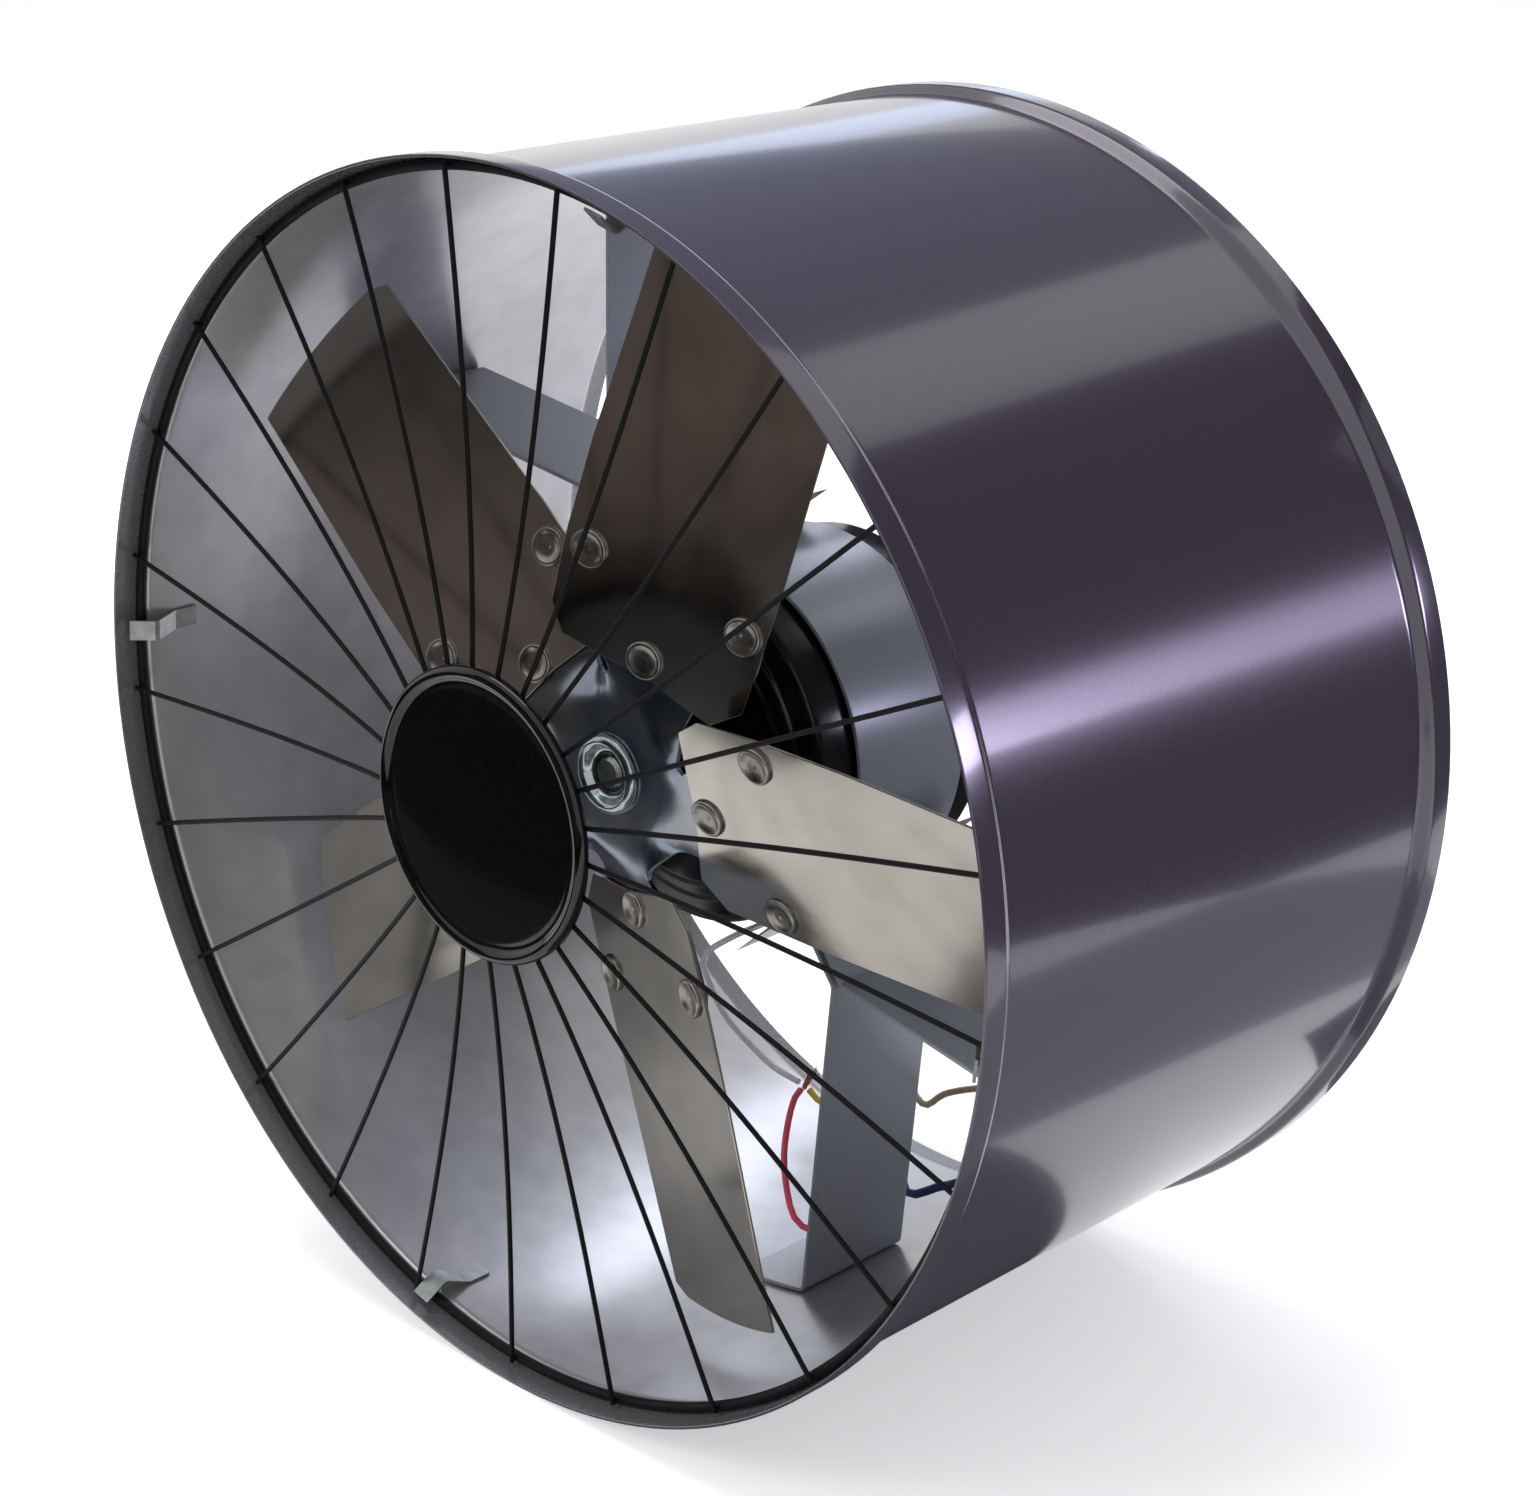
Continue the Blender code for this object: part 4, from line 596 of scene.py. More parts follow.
def sheetMesh(name, outline, thickness, edge):
    # a flat sheet with its edges broken by a narrow chamfer
    count = len(outline)
    inset = []
    for index, point in enumerate(outline):
        before = (point - outline[index - 1]).normalized()
        after = (outline[(index + 1) % count] - point).normalized()
        along = (before + after).normalized()
        inset.append(point + Vector((-along.y, along.x)) * edge)
    half = thickness / 2
    shape = bmesh.new()
    levels = ((inset, -half), (outline, -half + edge), (outline, half - edge), (inset, half))
    rings = [[shape.verts.new((point.x, point.y, height)) for point in points] for points, height in levels]
    for low, high in zip(rings, rings[1:]):
        for k in range(count):
            shape.faces.new((low[k - 1], low[k], high[k], high[k - 1]))
    shape.faces.new(rings[0][::-1])
    shape.faces.new(rings[-1])
    return finishMesh(shape, name, 20.0)


def signedArea(outline):
    return sum(a.x * b.y - b.x * a.y for a, b in zip(outline, outline[1:] + outline[:1])) / 2


def makeBlades(steel):
    outline = softenCorners(bladeOutline(), impellerSetup["corner"], 3, closed=True)
    if signedArea(outline) < 0:
        outline.reverse()
    mesh = sheetMesh("bladeSheet", outline, impellerSetup["sheet"], impellerSetup["edge"])
    for number, angle in enumerate(impellerSetup["angles"], start=1):
        addPiece(f"fanBlade_{number}", mesh, steel, "rotor",
                 [f"blade_{number}"], bladeFrame(angle))


rivetSetup = {
    "head": ((6.5, 0.05), (6.55, 0.4), (6.5, 0.8), (6.3, 1.15), (6.0, 1.35), (5.65, 1.4), (5.3, 1.32),
             (4.8, 1.08), (4.0, 0.72), (3.0, 0.45), (2.0, 0.36), (1.2, 0.40), (0.7, 0.28), (0.0, 0.15)),
    "headUnder": 0.5,
    "tail": ((0.0, -4.7), (2.2, -4.65), (3.1, -4.3), (3.6, -3.6), (3.6, -3.0)),
    "shank": 2.0,
    "shankEnds": (-3.0, 0.5),
    "sides": 40,
}


def makeRivets(bright):
    profile = inMetres(rivetSetup["tail"])
    profile += [(rivetSetup["shank"] * mm, end * mm) for end in rivetSetup["shankEnds"]]
    profile += [(r * mm, (y + rivetSetup["headUnder"]) * mm) for r, y in rivetSetup["head"]]
    mesh = turnedMesh("bladeRivet", profile, rivetSetup["sides"], sharpAngle=50.0)
    mesh.transform(Matrix.Rotation(math.pi / 2, 4, "X"))
    number = 0
    for angle in impellerSetup["angles"]:
        for x, y in impellerSetup["rivets"]:
            number += 1
            place = bladeFrame(angle) @ Matrix.Translation((x * mm, y * mm, 0.0))
            addPiece(f"headRivet_{number}", mesh, bright, "rotor",
                     [f"blade_rivet_{number}"], place)


spiderSetup = {
    "plane": 51.3767 * mm,
    "depth": 2.0852 * mm,
    "neck": 9.9 * mm,
    "discRows": (14, 19, 24, 26, 28, 30, 32, 34, 35.5),
    "steady": 26.0 * mm,  # the gaps' rows follow their round floor from here on
    "twistStart": 22.0 * mm,
    "twistEnd": 41.0 * mm,
    "notch": 37.0 * mm,
    "gapFloor": 33.9 * mm,
    "gapColumns": 14,
    "root": (12.0, -37.0),
    "arm": ((39.5, 13.4, -35.4), (42.5, 16.2, -33.8), (46.0, 19.5, -34.5), (60.0, 26.0, -39.5),
            (80.0, 20.0, -30.4), (88.0, 14.5, -23.3)),
    "columns": 16,
    "armSteps": 4,
    "edge": 0.35 * mm,
}


def spiderLift(radius, angle, onArm=False):
    # flat at the hub, pitched like its blade out on the arm; between two arms the slope turns back
    s = spiderSetup
    plus, minus = s["root"]
    slope = math.sin(math.radians(angle))
    if plus < angle < minus + 72.0 and not onArm:
        t = (angle - plus) / (minus + 72.0 - plus)
        span = math.radians(minus + 72.0 - plus)
        starts, ends = math.radians(plus), math.radians(minus)
        slope = ((1 + 2 * t) * (1 - t) ** 2 * math.sin(starts) + t * (1 - t) ** 2 * span * math.cos(starts)
                 + t * t * (3 - 2 * t) * math.sin(ends) - t * t * (1 - t) * span * math.cos(ends))
    share = min(max((radius - s["twistStart"]) / (s["twistEnd"] - s["twistStart"]), 0.0), 1.0)
    return radius * slope * math.tan(impellerSetup["pitch"]) * share ** 3 * (share * (6 * share - 15) + 10)


def makeSpider(zinc):
    s = spiderSetup
    plus, minus = s["root"]
    count = s["columns"]
    gapCount = s["gapColumns"]
    allAngles = [minus + (plus - minus) * k / count for k in range(count + 1)]
    allAngles += [plus + (minus + 72.0 - plus) * k / gapCount for k in range(1, gapCount)]
    radii = [s["neck"]] + [radius * mm for radius in s["discRows"]] + [s["notch"]]
    steady = s["steady"]
    shape = bmesh.new()

    def point(radius, arm, angle, lift):
        turn = math.radians(impellerSetup["angles"][0] + arm * 72.0 + angle)
        return shape.verts.new((radius * math.cos(turn), radius * math.sin(turn), lift - s["depth"] / 2))

    grid = {}
    for arm in range(5):
        for column, angle in enumerate(allAngles):
            for row, radius in enumerate(radii):
                if angle > plus and radius > steady:
                    share = (angle - plus) / (minus + 72.0 - plus)
                    floor = s["gapFloor"] + (s["notch"] - s["gapFloor"]) * abs(2 * share - 1) ** 4
                    radius = steady + (radius - steady) * (floor - steady) / (s["notch"] - steady)
                lift = spiderLift(radius, angle)
                grid[row, arm * len(allAngles) + column] = point(radius, arm, angle, lift)
    width = 5 * len(allAngles)
    for row in range(len(radii) - 1):
        for column in range(width):
            after = (column + 1) % width
            shape.faces.new((grid[row, column], grid[row, after],
                             grid[row + 1, after], grid[row + 1, column]))
    stations = [(radius * mm, high, low) for radius, high, low in s["arm"]]
    for arm in range(5):
        lower = [grid[len(radii) - 1, arm * len(allAngles) + k] for k in range(count + 1)]
        for radius, high, low in armRows([(s["notch"], plus, minus)] + stations)[1:]:
            upper = []
            for k in range(count + 1):
                angle = low + (high - low) * k / count
                upper.append(point(radius, arm, angle, spiderLift(radius, angle, onArm=True)))
            for k in range(count):
                shape.faces.new((lower[k], lower[k + 1], upper[k + 1], upper[k]))
            lower = upper
    raised = bmesh.ops.extrude_face_region(shape, geom=shape.faces[:])["geom"]
    lifted = [item for item in raised if isinstance(item, bmesh.types.BMVert)]
    bmesh.ops.translate(shape, verts=lifted, vec=(0.0, 0.0, s["depth"]))
    mesh = finishMesh(shape, "hubSpider", 30.0)
    place = Matrix.Translation((0.0, s["plane"], 0.0)) @ Matrix.Rotation(math.pi / 2, 4, "X")
    piece = addPiece("hubSpider", mesh, zinc, "rotor", ["hub_spider"], place)
    breakEdges(piece, s["edge"])


def armRows(stations):
    # the arm's edges in even steps between its stations
    steps = spiderSetup["armSteps"]
    rows = []
    for (r0, high0, low0), (r1, high1, low1) in zip(stations, stations[1:]):
        for step in range(steps):
            t = step / steps
            rows.append((r0 + (r1 - r0) * t, high0 + (high1 - high0) * t, low0 + (low1 - low0) * t))
    return rows + [stations[-1]]


bossSetup = {
    "bead": ((6.3, 50.6), (7.6, 50.7), (8.4, 50.3), (9.2, 49.0), (9.9, 47.9), (11.0, 47.23), (12.1, 47.5),
             (13.0, 48.2), (13.45, 49.1), (13.4, 50.03)),
    "barrel": ((9.6, 50.03), (9.6, 52.72), (17.0, 52.72), (17.0, 57.92), (15.0, 57.92), (15.0, 75.0),
               (13.8, 76.2), (6.3, 76.2)),
    "spacing": 0.3 * mm,
    "sides": 96,
}


def makeBoss(bright):
    profile = smoothProfile(bossSetup["bead"], bossSetup["spacing"]) + inMetres(bossSetup["barrel"])
    mesh = turnedMesh("hubBoss", profile, bossSetup["sides"])
    addPiece("hubBoss", mesh, bright, "rotor", ["hub_boss"])


# Motor

bellSetup = {
    "radius": 61.0 * mm,
    "height": 23.7 * mm,
    "frontFace": 102.7 * mm,
    "rearFace": 149.9 * mm,
    "shares": ((1.0, 0.0), (1.0, 0.620), (0.984, 0.684), (0.951, 0.705), (0.861, 0.722), (0.844, 0.781),
               (0.828, 0.797), (0.770, 0.814), (0.746, 0.865), (0.393, 0.873), (0.328, 0.937), (0.295, 1.0)),
    "inside": ((9.3, 23.7), (9.3, 8.7), (13.3, 8.7), (13.3, 17.7), (42.5, 17.5), (44.0, 16.3), (49.5, 14.1),
               (57.0, 13.2), (58.0, 11.7), (58.0, 0.0)),
    "corner": 0.9 * mm,
    "cornerSteps": 3,
    "sides": 120,
}


def makeBells(black):
    b = bellSetup
    outer = [(out * b["radius"], up * b["height"]) for out, up in b["shares"]]
    outer = softenCorners(outer, b["corner"], b["cornerSteps"])
    inner = inMetres(b["inside"])
    for name, node, face, way in (("bellFront", "motor_front_bell", b["frontFace"], -1),
                                  ("bellRear", "motor_rear_bell", b["rearFace"], 1)):
        profile = [(r, face + way * h) for r, h in [tuple(point) for point in outer] + inner]
        mesh = turnedMesh(name, profile, b["sides"])
        addPiece(name, mesh, black, "frame", [node])


strapSetup = {
    "wall": 199.5 * mm,
    "gap": 0.3 * mm,
    "sheet": 1.5 * mm,
    "band": 63.0 * mm,
    "flange": 1.9 * mm,
    "clampAngles": (-54.3, 127.0),
    "clampReach": 92.0 * mm,
    "flap": 30.0 * mm,
    "corner": 8.0 * mm,
    "bend": 2.8 * mm,
    "bendSteps": 8,
    "bendFrom": 20.0,
    "flapSteps": 8,
    "bandSteps": 90,
    "front": 101.2 * mm,
    "rear": 151.4 * mm,
    "edge": 0.35 * mm,
    # name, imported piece, feet in degrees, way round
    "straps": (("strapUpper", "strap_upper", (-29.9, 105.0), 1),
               ("strapLower", "strap_lower", (-78.7, 153.0), -1)),
}


def strapLine(feet, way):
    # flap, arm, clamp flange, half band, clamp flange, arm and flap, seen along the axis
    s = strapSetup

    def spot(degrees, reach, sideways=0.0):
        turn = math.radians(degrees)
        outwards = Vector((math.cos(turn), math.sin(turn)))
        return outwards * reach + Vector((-outwards.y, outwards.x)) * sideways

    def flapLine(foot, turning):
        # close steps round the free end's corners, wider ones from there to the foot
        line = s["wall"] - s["gap"] - s["sheet"] / 2
        steps = s["flapSteps"]
        gone = [s["corner"] * step / steps for step in range(steps + 1)]
        gone += [s["flap"] * step / steps for step in range(3, steps + 1)]
        return [spot(foot + turning * math.degrees((s["flap"] - part) / line), line) for part in gone]

    cornerReach = math.sqrt(s["band"] ** 2 - s["flange"] ** 2)
    cornerAngle = math.degrees(math.asin(s["flange"] / s["band"]))
    startClamp, endClamp = s["clampAngles"]
    if way < 0:
        endClamp -= 360.0
    start, end = startClamp + way * cornerAngle, endClamp - way * cornerAngle
    line = flapLine(feet[0], way)
    line += [spot(startClamp, reach, way * s["flange"]) for reach in (s["clampReach"], cornerReach)]
    steps = s["bandSteps"]
    line += [spot(start + (end - start) * step / steps, s["band"]) for step in range(1, steps)]
    line += [spot(endClamp, reach, -way * s["flange"]) for reach in (cornerReach, s["clampReach"])]
    return line + flapLine(feet[1], -way)[::-1]


def roundBends(points, radius):
    # an arc of the given radius in each sharp bend of a flat line
    steps = strapSetup["bendSteps"]
    result = [points[0]]
    for before, corner, after in zip(points, points[1:], points[2:]):
        incoming, outgoing = (corner - before).normalized(), (after - corner).normalized()
        turn = incoming.angle(outgoing)
        if turn < math.radians(strapSetup["bendFrom"]):
            result.append(corner)
            continue
        centre = corner + (outgoing - incoming).normalized() * (radius / math.cos(turn / 2))
        start = corner - incoming * (radius * math.tan(turn / 2)) - centre
        side = math.copysign(1.0, incoming.x * outgoing.y - incoming.y * outgoing.x)
        result += [centre + Matrix.Rotation(side * turn * step / steps, 2) @ start
                   for step in range(steps + 1)]
    return result + [points[-1]]


def makeStraps(paint):
    s = strapSetup
    for name, packed, feet, way in s["straps"]:
        line = roundBends(strapLine(feet, way), s["bend"])
        travelled = [0.0]
        for before, after in zip(line, line[1:]):
            travelled.append(travelled[-1] + (after - before).length)
        steps = [(after - before).normalized() for before, after in zip(line, line[1:])]
        shape = bmesh.new()
        sections = []
        for spot, incoming, outgoing, gone in zip(line, steps[:1] + steps, steps + steps[-1:], travelled):
            along = (incoming + outgoing).normalized()
            across = Vector((-along.y, along.x)) * (s["sheet"] / 2 / along.dot(incoming))
            short = max(s["corner"] - min(gone, travelled[-1] - gone), 0.0)
            inset = s["corner"] - math.sqrt(s["corner"] ** 2 - short ** 2)
            near, far = s["front"] + inset, s["rear"] - inset
            inner, outer = spot - across, spot + across
            sections.append([shape.verts.new((flat.x, depth, flat.y)) for flat, depth in
                             ((inner, near), (outer, near), (outer, far), (inner, far))])
        for low, high in zip(sections, sections[1:]):
            for k in range(4):
                shape.faces.new((low[k - 1], low[k], high[k], high[k - 1]))
        shape.faces.new(sections[0][::-1])
        shape.faces.new(sections[-1])
        piece = addPiece(name, finishMesh(shape, name), paint, "frame", [packed])
        breakEdges(piece, s["edge"])


# Studio: pale floor, soft lamps and a white surround

studioSetup = {
    "floorHeight": -204.0 * mm,
    "floorSize": 24.0,
    "floorGlow": 0.45,
    "worldDiffuse": 0.55,
    "floorColour": "f4f4f4",
    "lamps": (
        # name, place, aim, width, height, power, colour, shown in gloss
        ("topSoft", (-0.5, 0.2, 2.2), (0.0, 0.1, 0.0), 1.8, 1.4, 22.0, "ffffff", True),
        ("frontSoft", (-0.9, -2.1, 1.5), (0.0, 0.1, 0.0), 1.2, 1.2, 22.0, "ffffff", False),
        ("rearStrip", (1.66, 1.29, 0.33), (0.15, 0.10, 0.05), 0.75, 0.24, 11.0, "e4dcff", True),
        ("rearHigh", (-1.17, 1.92, 1.72), (0.0, 0.1, -0.1), 1.15, 0.42, 9.0, "e8eeff", True),
        ("blueTop", (-1.25, 1.75, 0.80), (0.1, 0.15, 0.1), 0.8, 0.3, 0.8, "b4ccff", True),
    ),
    "cardLevel": -203.5 * mm,
    # cards that only reflections show, lying on the floor: name, x, y, width, depth, shade
    "floorCards": (
        ("flagNearFloor", -0.6, -0.51, 4.2, 0.22, "101112"),
        ("flagFarFloor", -0.6, -1.82, 4.2, 2.40, "5e5350"),
        ("flagCap", -0.47, -0.345, 0.50, 0.11, "1c1e20"),
        ("flagCapLow", -0.47, -0.22, 0.50, 0.14, "505254"),
        ("flagRearFloor", 1.73, 1.77, 2.54, 2.54, "141416"),
        # painted shadow: a grey card where the drum's shadow lies on the floor, seen only in reflections of
        # the drum's lower side
        ("paintedDrumShadow", 0.12, 0.04, 0.24, 0.28, "8a888d"),
        ("flagBeside", 0.35, 0.20, 0.22, 0.60, "b4b2b8"),
    ),
    # standing ones: name, centre, faced point, width, height, shade, blocks lamps
    "cards": (
        ("flagFrontLow", (-0.6, -3.02, 0.15), (-0.6, 0.0, 0.15), 5.6, 0.70, "7d7472", False),
        ("flagFrontHigh", (-0.6, -3.02, 1.40), (-0.6, 0.0, 1.40), 5.6, 1.80, "403b39", False),
        ("flagRear", (2.1, 2.1, 1.2), (0.0, 0.0, 1.2), 5.5, 2.8, "141416", False),
        ("flagOpening", (0.06, 0.245, 0.00), (0.06, 0.0, 0.00), 0.27, 0.27, "a6a6ac", True),
        ("flagTop", (-0.35, 0.50, 0.665), (-0.35, 0.0, 0.665), 0.90, 0.57, "868ca0", True),
    ),
}


def seenRays(tree, rays):
    # 1 for what the camera sees directly, in a gloss or through glass
    seen = addNode(tree, "ShaderNodeMath", {0: rays["Is Camera Ray"], 1: rays["Is Glossy Ray"]},
                   operation="MAXIMUM")["Value"]
    return addNode(tree, "ShaderNodeMath", {0: seen, 1: rays["Is Transmission Ray"]},
                   operation="MAXIMUM")["Value"]


def makeStudio():
    s = studioSetup
    half = s["floorSize"] / 2
    mesh = bpy.data.meshes.new("studioFloor")
    mesh.from_pydata([(-half, -half, s["floorHeight"]), (half, -half, s["floorHeight"]),
                      (half, half, s["floorHeight"]), (-half, half, s["floorHeight"])], [], [(0, 1, 2, 3)])
    floor = bpy.data.objects.new("studioFloor", mesh)
    bpy.context.scene.collection.objects.link(floor)
    material, tree, surface = startMaterial("paleFloor", {"Base Color": linearColour(s["floorColour"]),
                                                          "Roughness": 0.9, "Specular IOR Level": 0.2})
    mesh.materials.append(material)
    seen = seenRays(tree, addNode(tree, "ShaderNodeLightPath"))
    glow = addNode(tree, "ShaderNodeMath", {0: seen, 1: s["floorGlow"]}, operation="MULTIPLY")["Value"]
    surface.inputs["Emission Color"].default_value = (1.0, 1.0, 1.0, 1.0)
    tree.links.new(glow, surface.inputs["Emission Strength"])
    lying = [(name, (x, y, s["cardLevel"]), (x, y, 1.0), width, depth, shade, False)
             for name, x, y, width, depth, shade in s["floorCards"]]
    for name, place, aim, width, height, shade, blocks in (*lying, *s["cards"]):
        # matt dyed card
        paper, _, _ = startMaterial(name + "Paper", {
            "Base Color": linearColour(shade), "Roughness": 0.9, "Specular IOR Level": 0.1})
        mesh = bpy.data.meshes.new(name)
        mesh.from_pydata([(-width / 2, -height / 2, 0.0), (width / 2, -height / 2, 0.0),
                          (width / 2, height / 2, 0.0), (-width / 2, height / 2, 0.0)], [], [(0, 1, 2, 3)])
        mesh.materials.append(paper)
        card = bpy.data.objects.new(name, mesh)
        bpy.context.scene.collection.objects.link(card)
        card.location = place
        card.rotation_mode = "QUATERNION"
        card.rotation_quaternion = (Vector(aim) - Vector(place)).to_track_quat("Z", "Y")
        card.visible_camera = False
        card.visible_diffuse = False
        card.visible_shadow = blocks
        card.visible_transmission = False
    for name, place, aim, width, height, power, colour, inGloss in s["lamps"]:
        data = bpy.data.lights.new(name, "AREA")
        data.shape = "RECTANGLE"
        data.size, data.size_y = width, height
        data.energy = power
        data.color = linearColour(colour)[:3]
        lamp = bpy.data.objects.new(name, data)
        bpy.context.scene.collection.objects.link(lamp)
        lamp.visible_glossy = inGloss
        lamp.location = place
        lamp.rotation_mode = "QUATERNION"
        lamp.rotation_quaternion = (Vector(aim) - Vector(place)).to_track_quat("-Z", "Y")
    world = bpy.data.worlds.new("paleSurround")
    bpy.context.scene.world = world
    world.use_nodes = True
    tree = world.node_tree
    seen = seenRays(tree, addNode(tree, "ShaderNodeLightPath"))
    strength = addNode(tree, "ShaderNodeMapRange", {"Value": seen, "To Min": s["worldDiffuse"],
                                                    "To Max": 1.0})["Result"]
    background = tree.nodes["Background"]
    background.inputs["Color"].default_value = (1.0, 1.0, 1.0, 1.0)
    tree.links.new(strength, background.inputs["Strength"])
    bpy.context.scene.view_settings.view_transform = "Standard"


def dressNodes(finishes):
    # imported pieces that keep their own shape: finish and edge in mm
    edges = {
        "guard_hub_plate": ("zincPlate", 0.2), "guard_cap_nut": ("zincPlate", 0.3),
        "hub_set_screw": ("darkSteel", 0.2), "shaft": ("turnedSteel", 0.3),
        "stator_core": ("coreSteel", 0.2), "stator_windings": ("windings", 0.8),
        "rotor_core": ("coreSteel", 0.3), "front_bush": ("bushBronze", 0.3),
        "rear_bush": ("bushBronze", 0.3),
        "lead_grommet": ("grommetRubber", 0.4),
    }
    for number in range(1, 5):
        edges[f"guard_clip_{number}"] = ("clipZinc", 0.25)
        edges[f"clamp_bolt_{number}"] = ("zincPlate", 0.3)
        edges[f"clamp_nut_{number}"] = ("zincPlate", 0.3)
    for number in range(1, 4):
        edges[f"motor_through_bolt_{number}"] = ("boltSteel", 0.25)
    for name, (finish, edge) in edges.items():
        dressNode(name, finishes[finish], edge * mm)


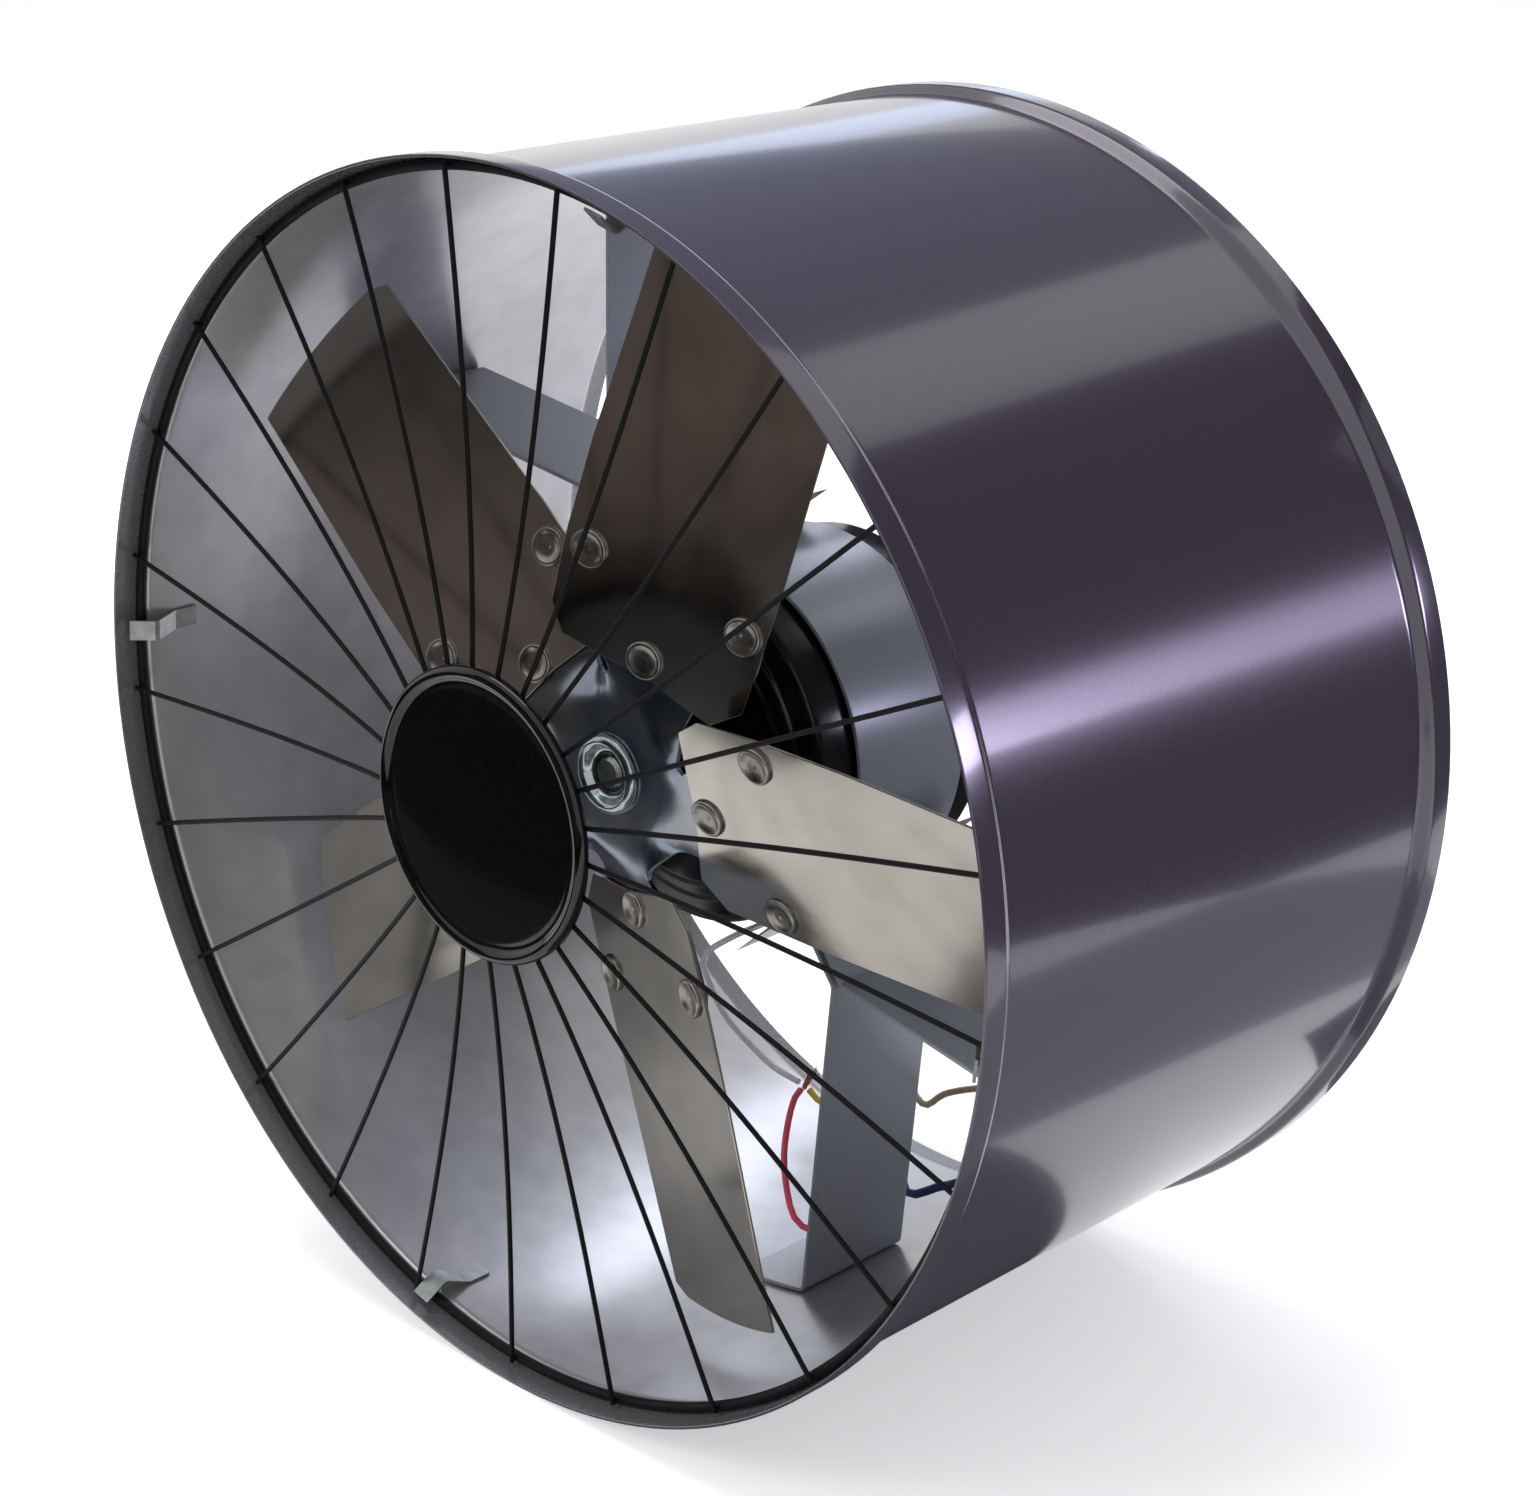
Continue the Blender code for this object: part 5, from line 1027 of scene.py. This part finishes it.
# tone: size in mm, detail, stops; gloss: roughness at the noise's low and high;
# relief: size in mm, detail, depth in mm, strength
finishRecipes = {
    # polyester powder coat, baked on sheet steel: a satin film over fine metal flake, with orange peel
    "drumOuter": {"surface": {"Metallic": 0.30, "Coat Weight": 0.6, "Coat Roughness": 0.08},
                  "tone": (1.2, 1.0, ((0.15, "453f4a"), (0.85, "4b4551"))),
                  "gloss": (0.16, 0.19), "relief": (3.0, 1.0, 0.03, 0.22)},
    # the same coat inside the collars, copied in a lighter, greyer tone: a painted reflection of the light
    # that the collars' insides catch
    "collarPaintedReflection": {"surface": {"Metallic": 0.30, "Coat Weight": 0.4, "Coat Roughness": 0.15},
                   "tone": (1.2, 1.0, ((0.15, "727376"), (0.85, "76777a"))),
                   "gloss": (0.26, 0.29), "relief": (3.0, 1.0, 0.03, 0.05)},
    # the drum's inside, galvanised sheet under a thin silver coat: the spangle shows as faint clouds
    "drumInner": {"surface": {"Metallic": 0.50, "Coat Weight": 0.3, "Coat Roughness": 0.15},
                  "tone": (12.0, 1.0, ((0.15, "a9a9ad"), (0.85, "bcbcbf"))),
                  "gloss": (0.27, 0.30), "relief": (9.0, 1.0, 0.15, 0.30)},
    # powder coat in blue-grey on the motor's straps
    "strapPaint": {"surface": {"Metallic": 0.35, "Coat Weight": 0.2, "Coat Roughness": 0.2},
                   "tone": (1.2, 1.0, ((0.15, "a7acb5"), (0.85, "b3b8c1"))),
                   "gloss": (0.30, 0.34), "relief": (3.0, 1.0, 0.03, 0.30)},
    # black PVC dip over the guard's wires: deep and dull, with faint waves where it ran
    "wireCoat": {"surface": {"Specular IOR Level": 0.16},
                 "tone": (1.0, 3.0, ((0.15, "070708"), (0.85, "111113"))),
                 "gloss": (0.48, 0.56), "relief": (1.5, 2.0, 0.02, 0.15)},
    # injection-moulded ABS with a polished face: near mirror, barely waved
    "capGloss": {"surface": {"Specular IOR Level": 0.4},
                 "tone": (2.0, 3.0, ((0.15, "040405"), (0.85, "0d0d0f"))),
                 "gloss": (0.08, 0.10), "relief": (12.0, 2.0, 0.02, 0.03)},
    # sprayed black enamel on the motor's pressed bells
    "bellBlack": {"surface": {"Specular IOR Level": 0.4},
                  "tone": (1.5, 3.0, ((0.15, "060608"), (0.85, "161619"))),
                  "gloss": (0.16, 0.20), "relief": (5.0, 2.0, 0.02, 0.08)},
    # cold-rolled sheet, bare and oiled: cloudy semi-gloss with faint lines along the rolling direction
    "bladeSteel": {"surface": {"Metallic": 1.0},
                   "tone": (24.0, 2.0, ((0.15, "a29e97"), (0.85, "bcb7ae"))),
                   "gloss": (0.13, 0.22), "relief": (5.0, 1.0, 0.05, 0.20), "stretch": 0.05},
    # bright zinc plate over the pressed spider: bluish, with a faint rainbow cast in wide patches
    "spiderZinc": {"surface": {"Metallic": 1.0},
                   "tone": (26.0, 1.0, ((0.15, "737d8c"), (0.50, "858d99"), (0.85, "9d9a97"))),
                   "gloss": (0.20, 0.27), "relief": (3.0, 1.0, 0.002, 0.02)},
    # nickel-plated rivet heads, dulled by the tool
    "rivetSteel": {"surface": {"Metallic": 1.0},
                   "tone": (3.0, 2.0, ((0.15, "85817c"), (0.85, "a19d97"))),
                   "gloss": (0.26, 0.34), "relief": (2.0, 1.0, 0.005, 0.05)},
    # turned and nickel-plated steel of the boss
    "bossSteel": {"surface": {"Metallic": 1.0},
                  "tone": (6.0, 2.0, ((0.15, "8b9598"), (0.85, "a9b2b3"))),
                  "gloss": (0.12, 0.17), "relief": (4.0, 1.0, 0.004, 0.05)},
    # ground shaft steel
    "turnedSteel": {"surface": {"Metallic": 1.0},
                    "tone": (6.0, 2.0, ((0.15, "808684"), (0.85, "9aa09d"))),
                    "gloss": (0.20, 0.26), "relief": (3.0, 1.0, 0.004, 0.05)},
    # drawn bright-steel through bolts
    "boltSteel": {"surface": {"Metallic": 1.0},
                  "tone": (4.0, 4.0, ((0.15, "85858a"), (0.85, "b8b8bc"))),
                  "gloss": (0.22, 0.34), "relief": (0.5, 3.0, 0.01, 0.15)},
    # blackened alloy steel of the set screw
    "darkSteel": {"surface": {"Metallic": 1.0},
                  "tone": (3.0, 3.0, ((0.15, "1c1c1e"), (0.85, "3a3a3c"))),
                  "gloss": (0.36, 0.46), "relief": (0.5, 3.0, 0.01, 0.15)},
    # clear zinc plate on the clamp bolts, nuts and the plate behind the cap
    "zincPlate": {"surface": {"Metallic": 1.0},
                  "tone": (5.0, 2.0, ((0.15, "8a929b"), (0.50, "a0a6aa"), (0.85, "b8b8b0"))),
                  "gloss": (0.26, 0.34), "relief": (1.2, 3.0, 0.004, 0.15)},
    # dull zinc on the spring-steel clips
    "clipZinc": {"surface": {"Metallic": 1.0},
                 "tone": (4.0, 2.0, ((0.15, "7c8184"), (0.50, "999c9c"), (0.85, "b5b6b2"))),
                 "gloss": (0.34, 0.44), "relief": (1.2, 3.0, 0.004, 0.15)},
    # sintered bronze sleeves, soaked in oil
    "bushBronze": {"surface": {"Metallic": 1.0},
                   "tone": (1.0, 4.0, ((0.15, "6e4f2a"), (0.85, "a67f48"))),
                   "gloss": (0.34, 0.46), "relief": (0.5, 3.0, 0.02, 0.3)},
    # black rubber of the grommet: matt, with dust in the grain
    "grommetRubber": {"surface": {},
                      "tone": (0.7, 3.0, ((0.15, "101011"), (0.85, "2c2c2c"))),
                      "gloss": (0.58, 0.66), "relief": (0.7, 3.0, 0.03, 0.5)},
    # bare copper strands of the joint, slightly tarnished
    "copper": {"surface": {"Metallic": 1.0},
               "tone": (1.5, 3.0, ((0.15, "b0653a"), (0.85, "ecb988"))),
               "gloss": (0.24, 0.36), "relief": (0.4, 2.0, 0.01, 0.2)},
}
# PVC insulation, extruded: soft sheen and faint dust; each lead's dusty and clean colour
leadColours = {
    "lead_white": ("d4d4da", "f0f0f2"), "lead_red": ("e04a60", "f8647a"), "lead_brown": ("b8a482", "d8c6a4"),
    "lead_blue": ("17305c", "22427c"),
}
finishes = {name: makeFinish(name, recipe) for name, recipe in finishRecipes.items()}
# stacked electrical sheet, 0.5 mm each: the lines are drawn 1 mm wide to show
finishes["coreSteel"] = bandedMetal(
    "laminatedSteel", {"Metallic": 1.0, "Roughness": 0.42}, 1.0, "4a4a4c", "8c8c90", 0.05,
    bands_direction="Y")
# enamelled copper wire, wound in a ring and varnished
finishes["windings"] = bandedMetal(
    "woundCopper", {"Metallic": 0.9, "Roughness": 0.3, "Coat Weight": 0.4}, 1.2, "5a2a14", "c2703c", 0.2,
    wave_type="RINGS", rings_direction="Y")
leadFinishes = {"lead_earth": earthPlastic()}
for name, (dusty, clean) in leadColours.items():
    leadFinishes[name] = makeFinish(name + "_pvc", {
        "surface": {"IOR": 1.53}, "tone": (3.0, 3.0, ((0.15, dusty), (0.85, clean))),
        "gloss": (0.38, 0.46), "relief": (0.6, 2.0, 0.02, 0.3)})

makeCamera()
print("camera is set")
splice = makeSplice(finishes["copper"])
makeLeads(leadFinishes)
print("leads are laid")
makeDrum([finishes[name] for name in ("drumOuter", "drumInner", "collarPaintedReflection")])
makeGuard(finishes["wireCoat"])
makeCap(finishes["capGloss"])
print("drum and guard are made")
makeBlades(finishes["bladeSteel"])
makeRivets(finishes["rivetSteel"])
makeSpider(finishes["spiderZinc"])
makeBoss(finishes["bossSteel"])
print("impeller is made")
makeBells(finishes["bellBlack"])
makeStraps(finishes["strapPaint"])
dressNodes(finishes)
print("motor and fittings are dressed")
makeStudio()
print("studio is lit")
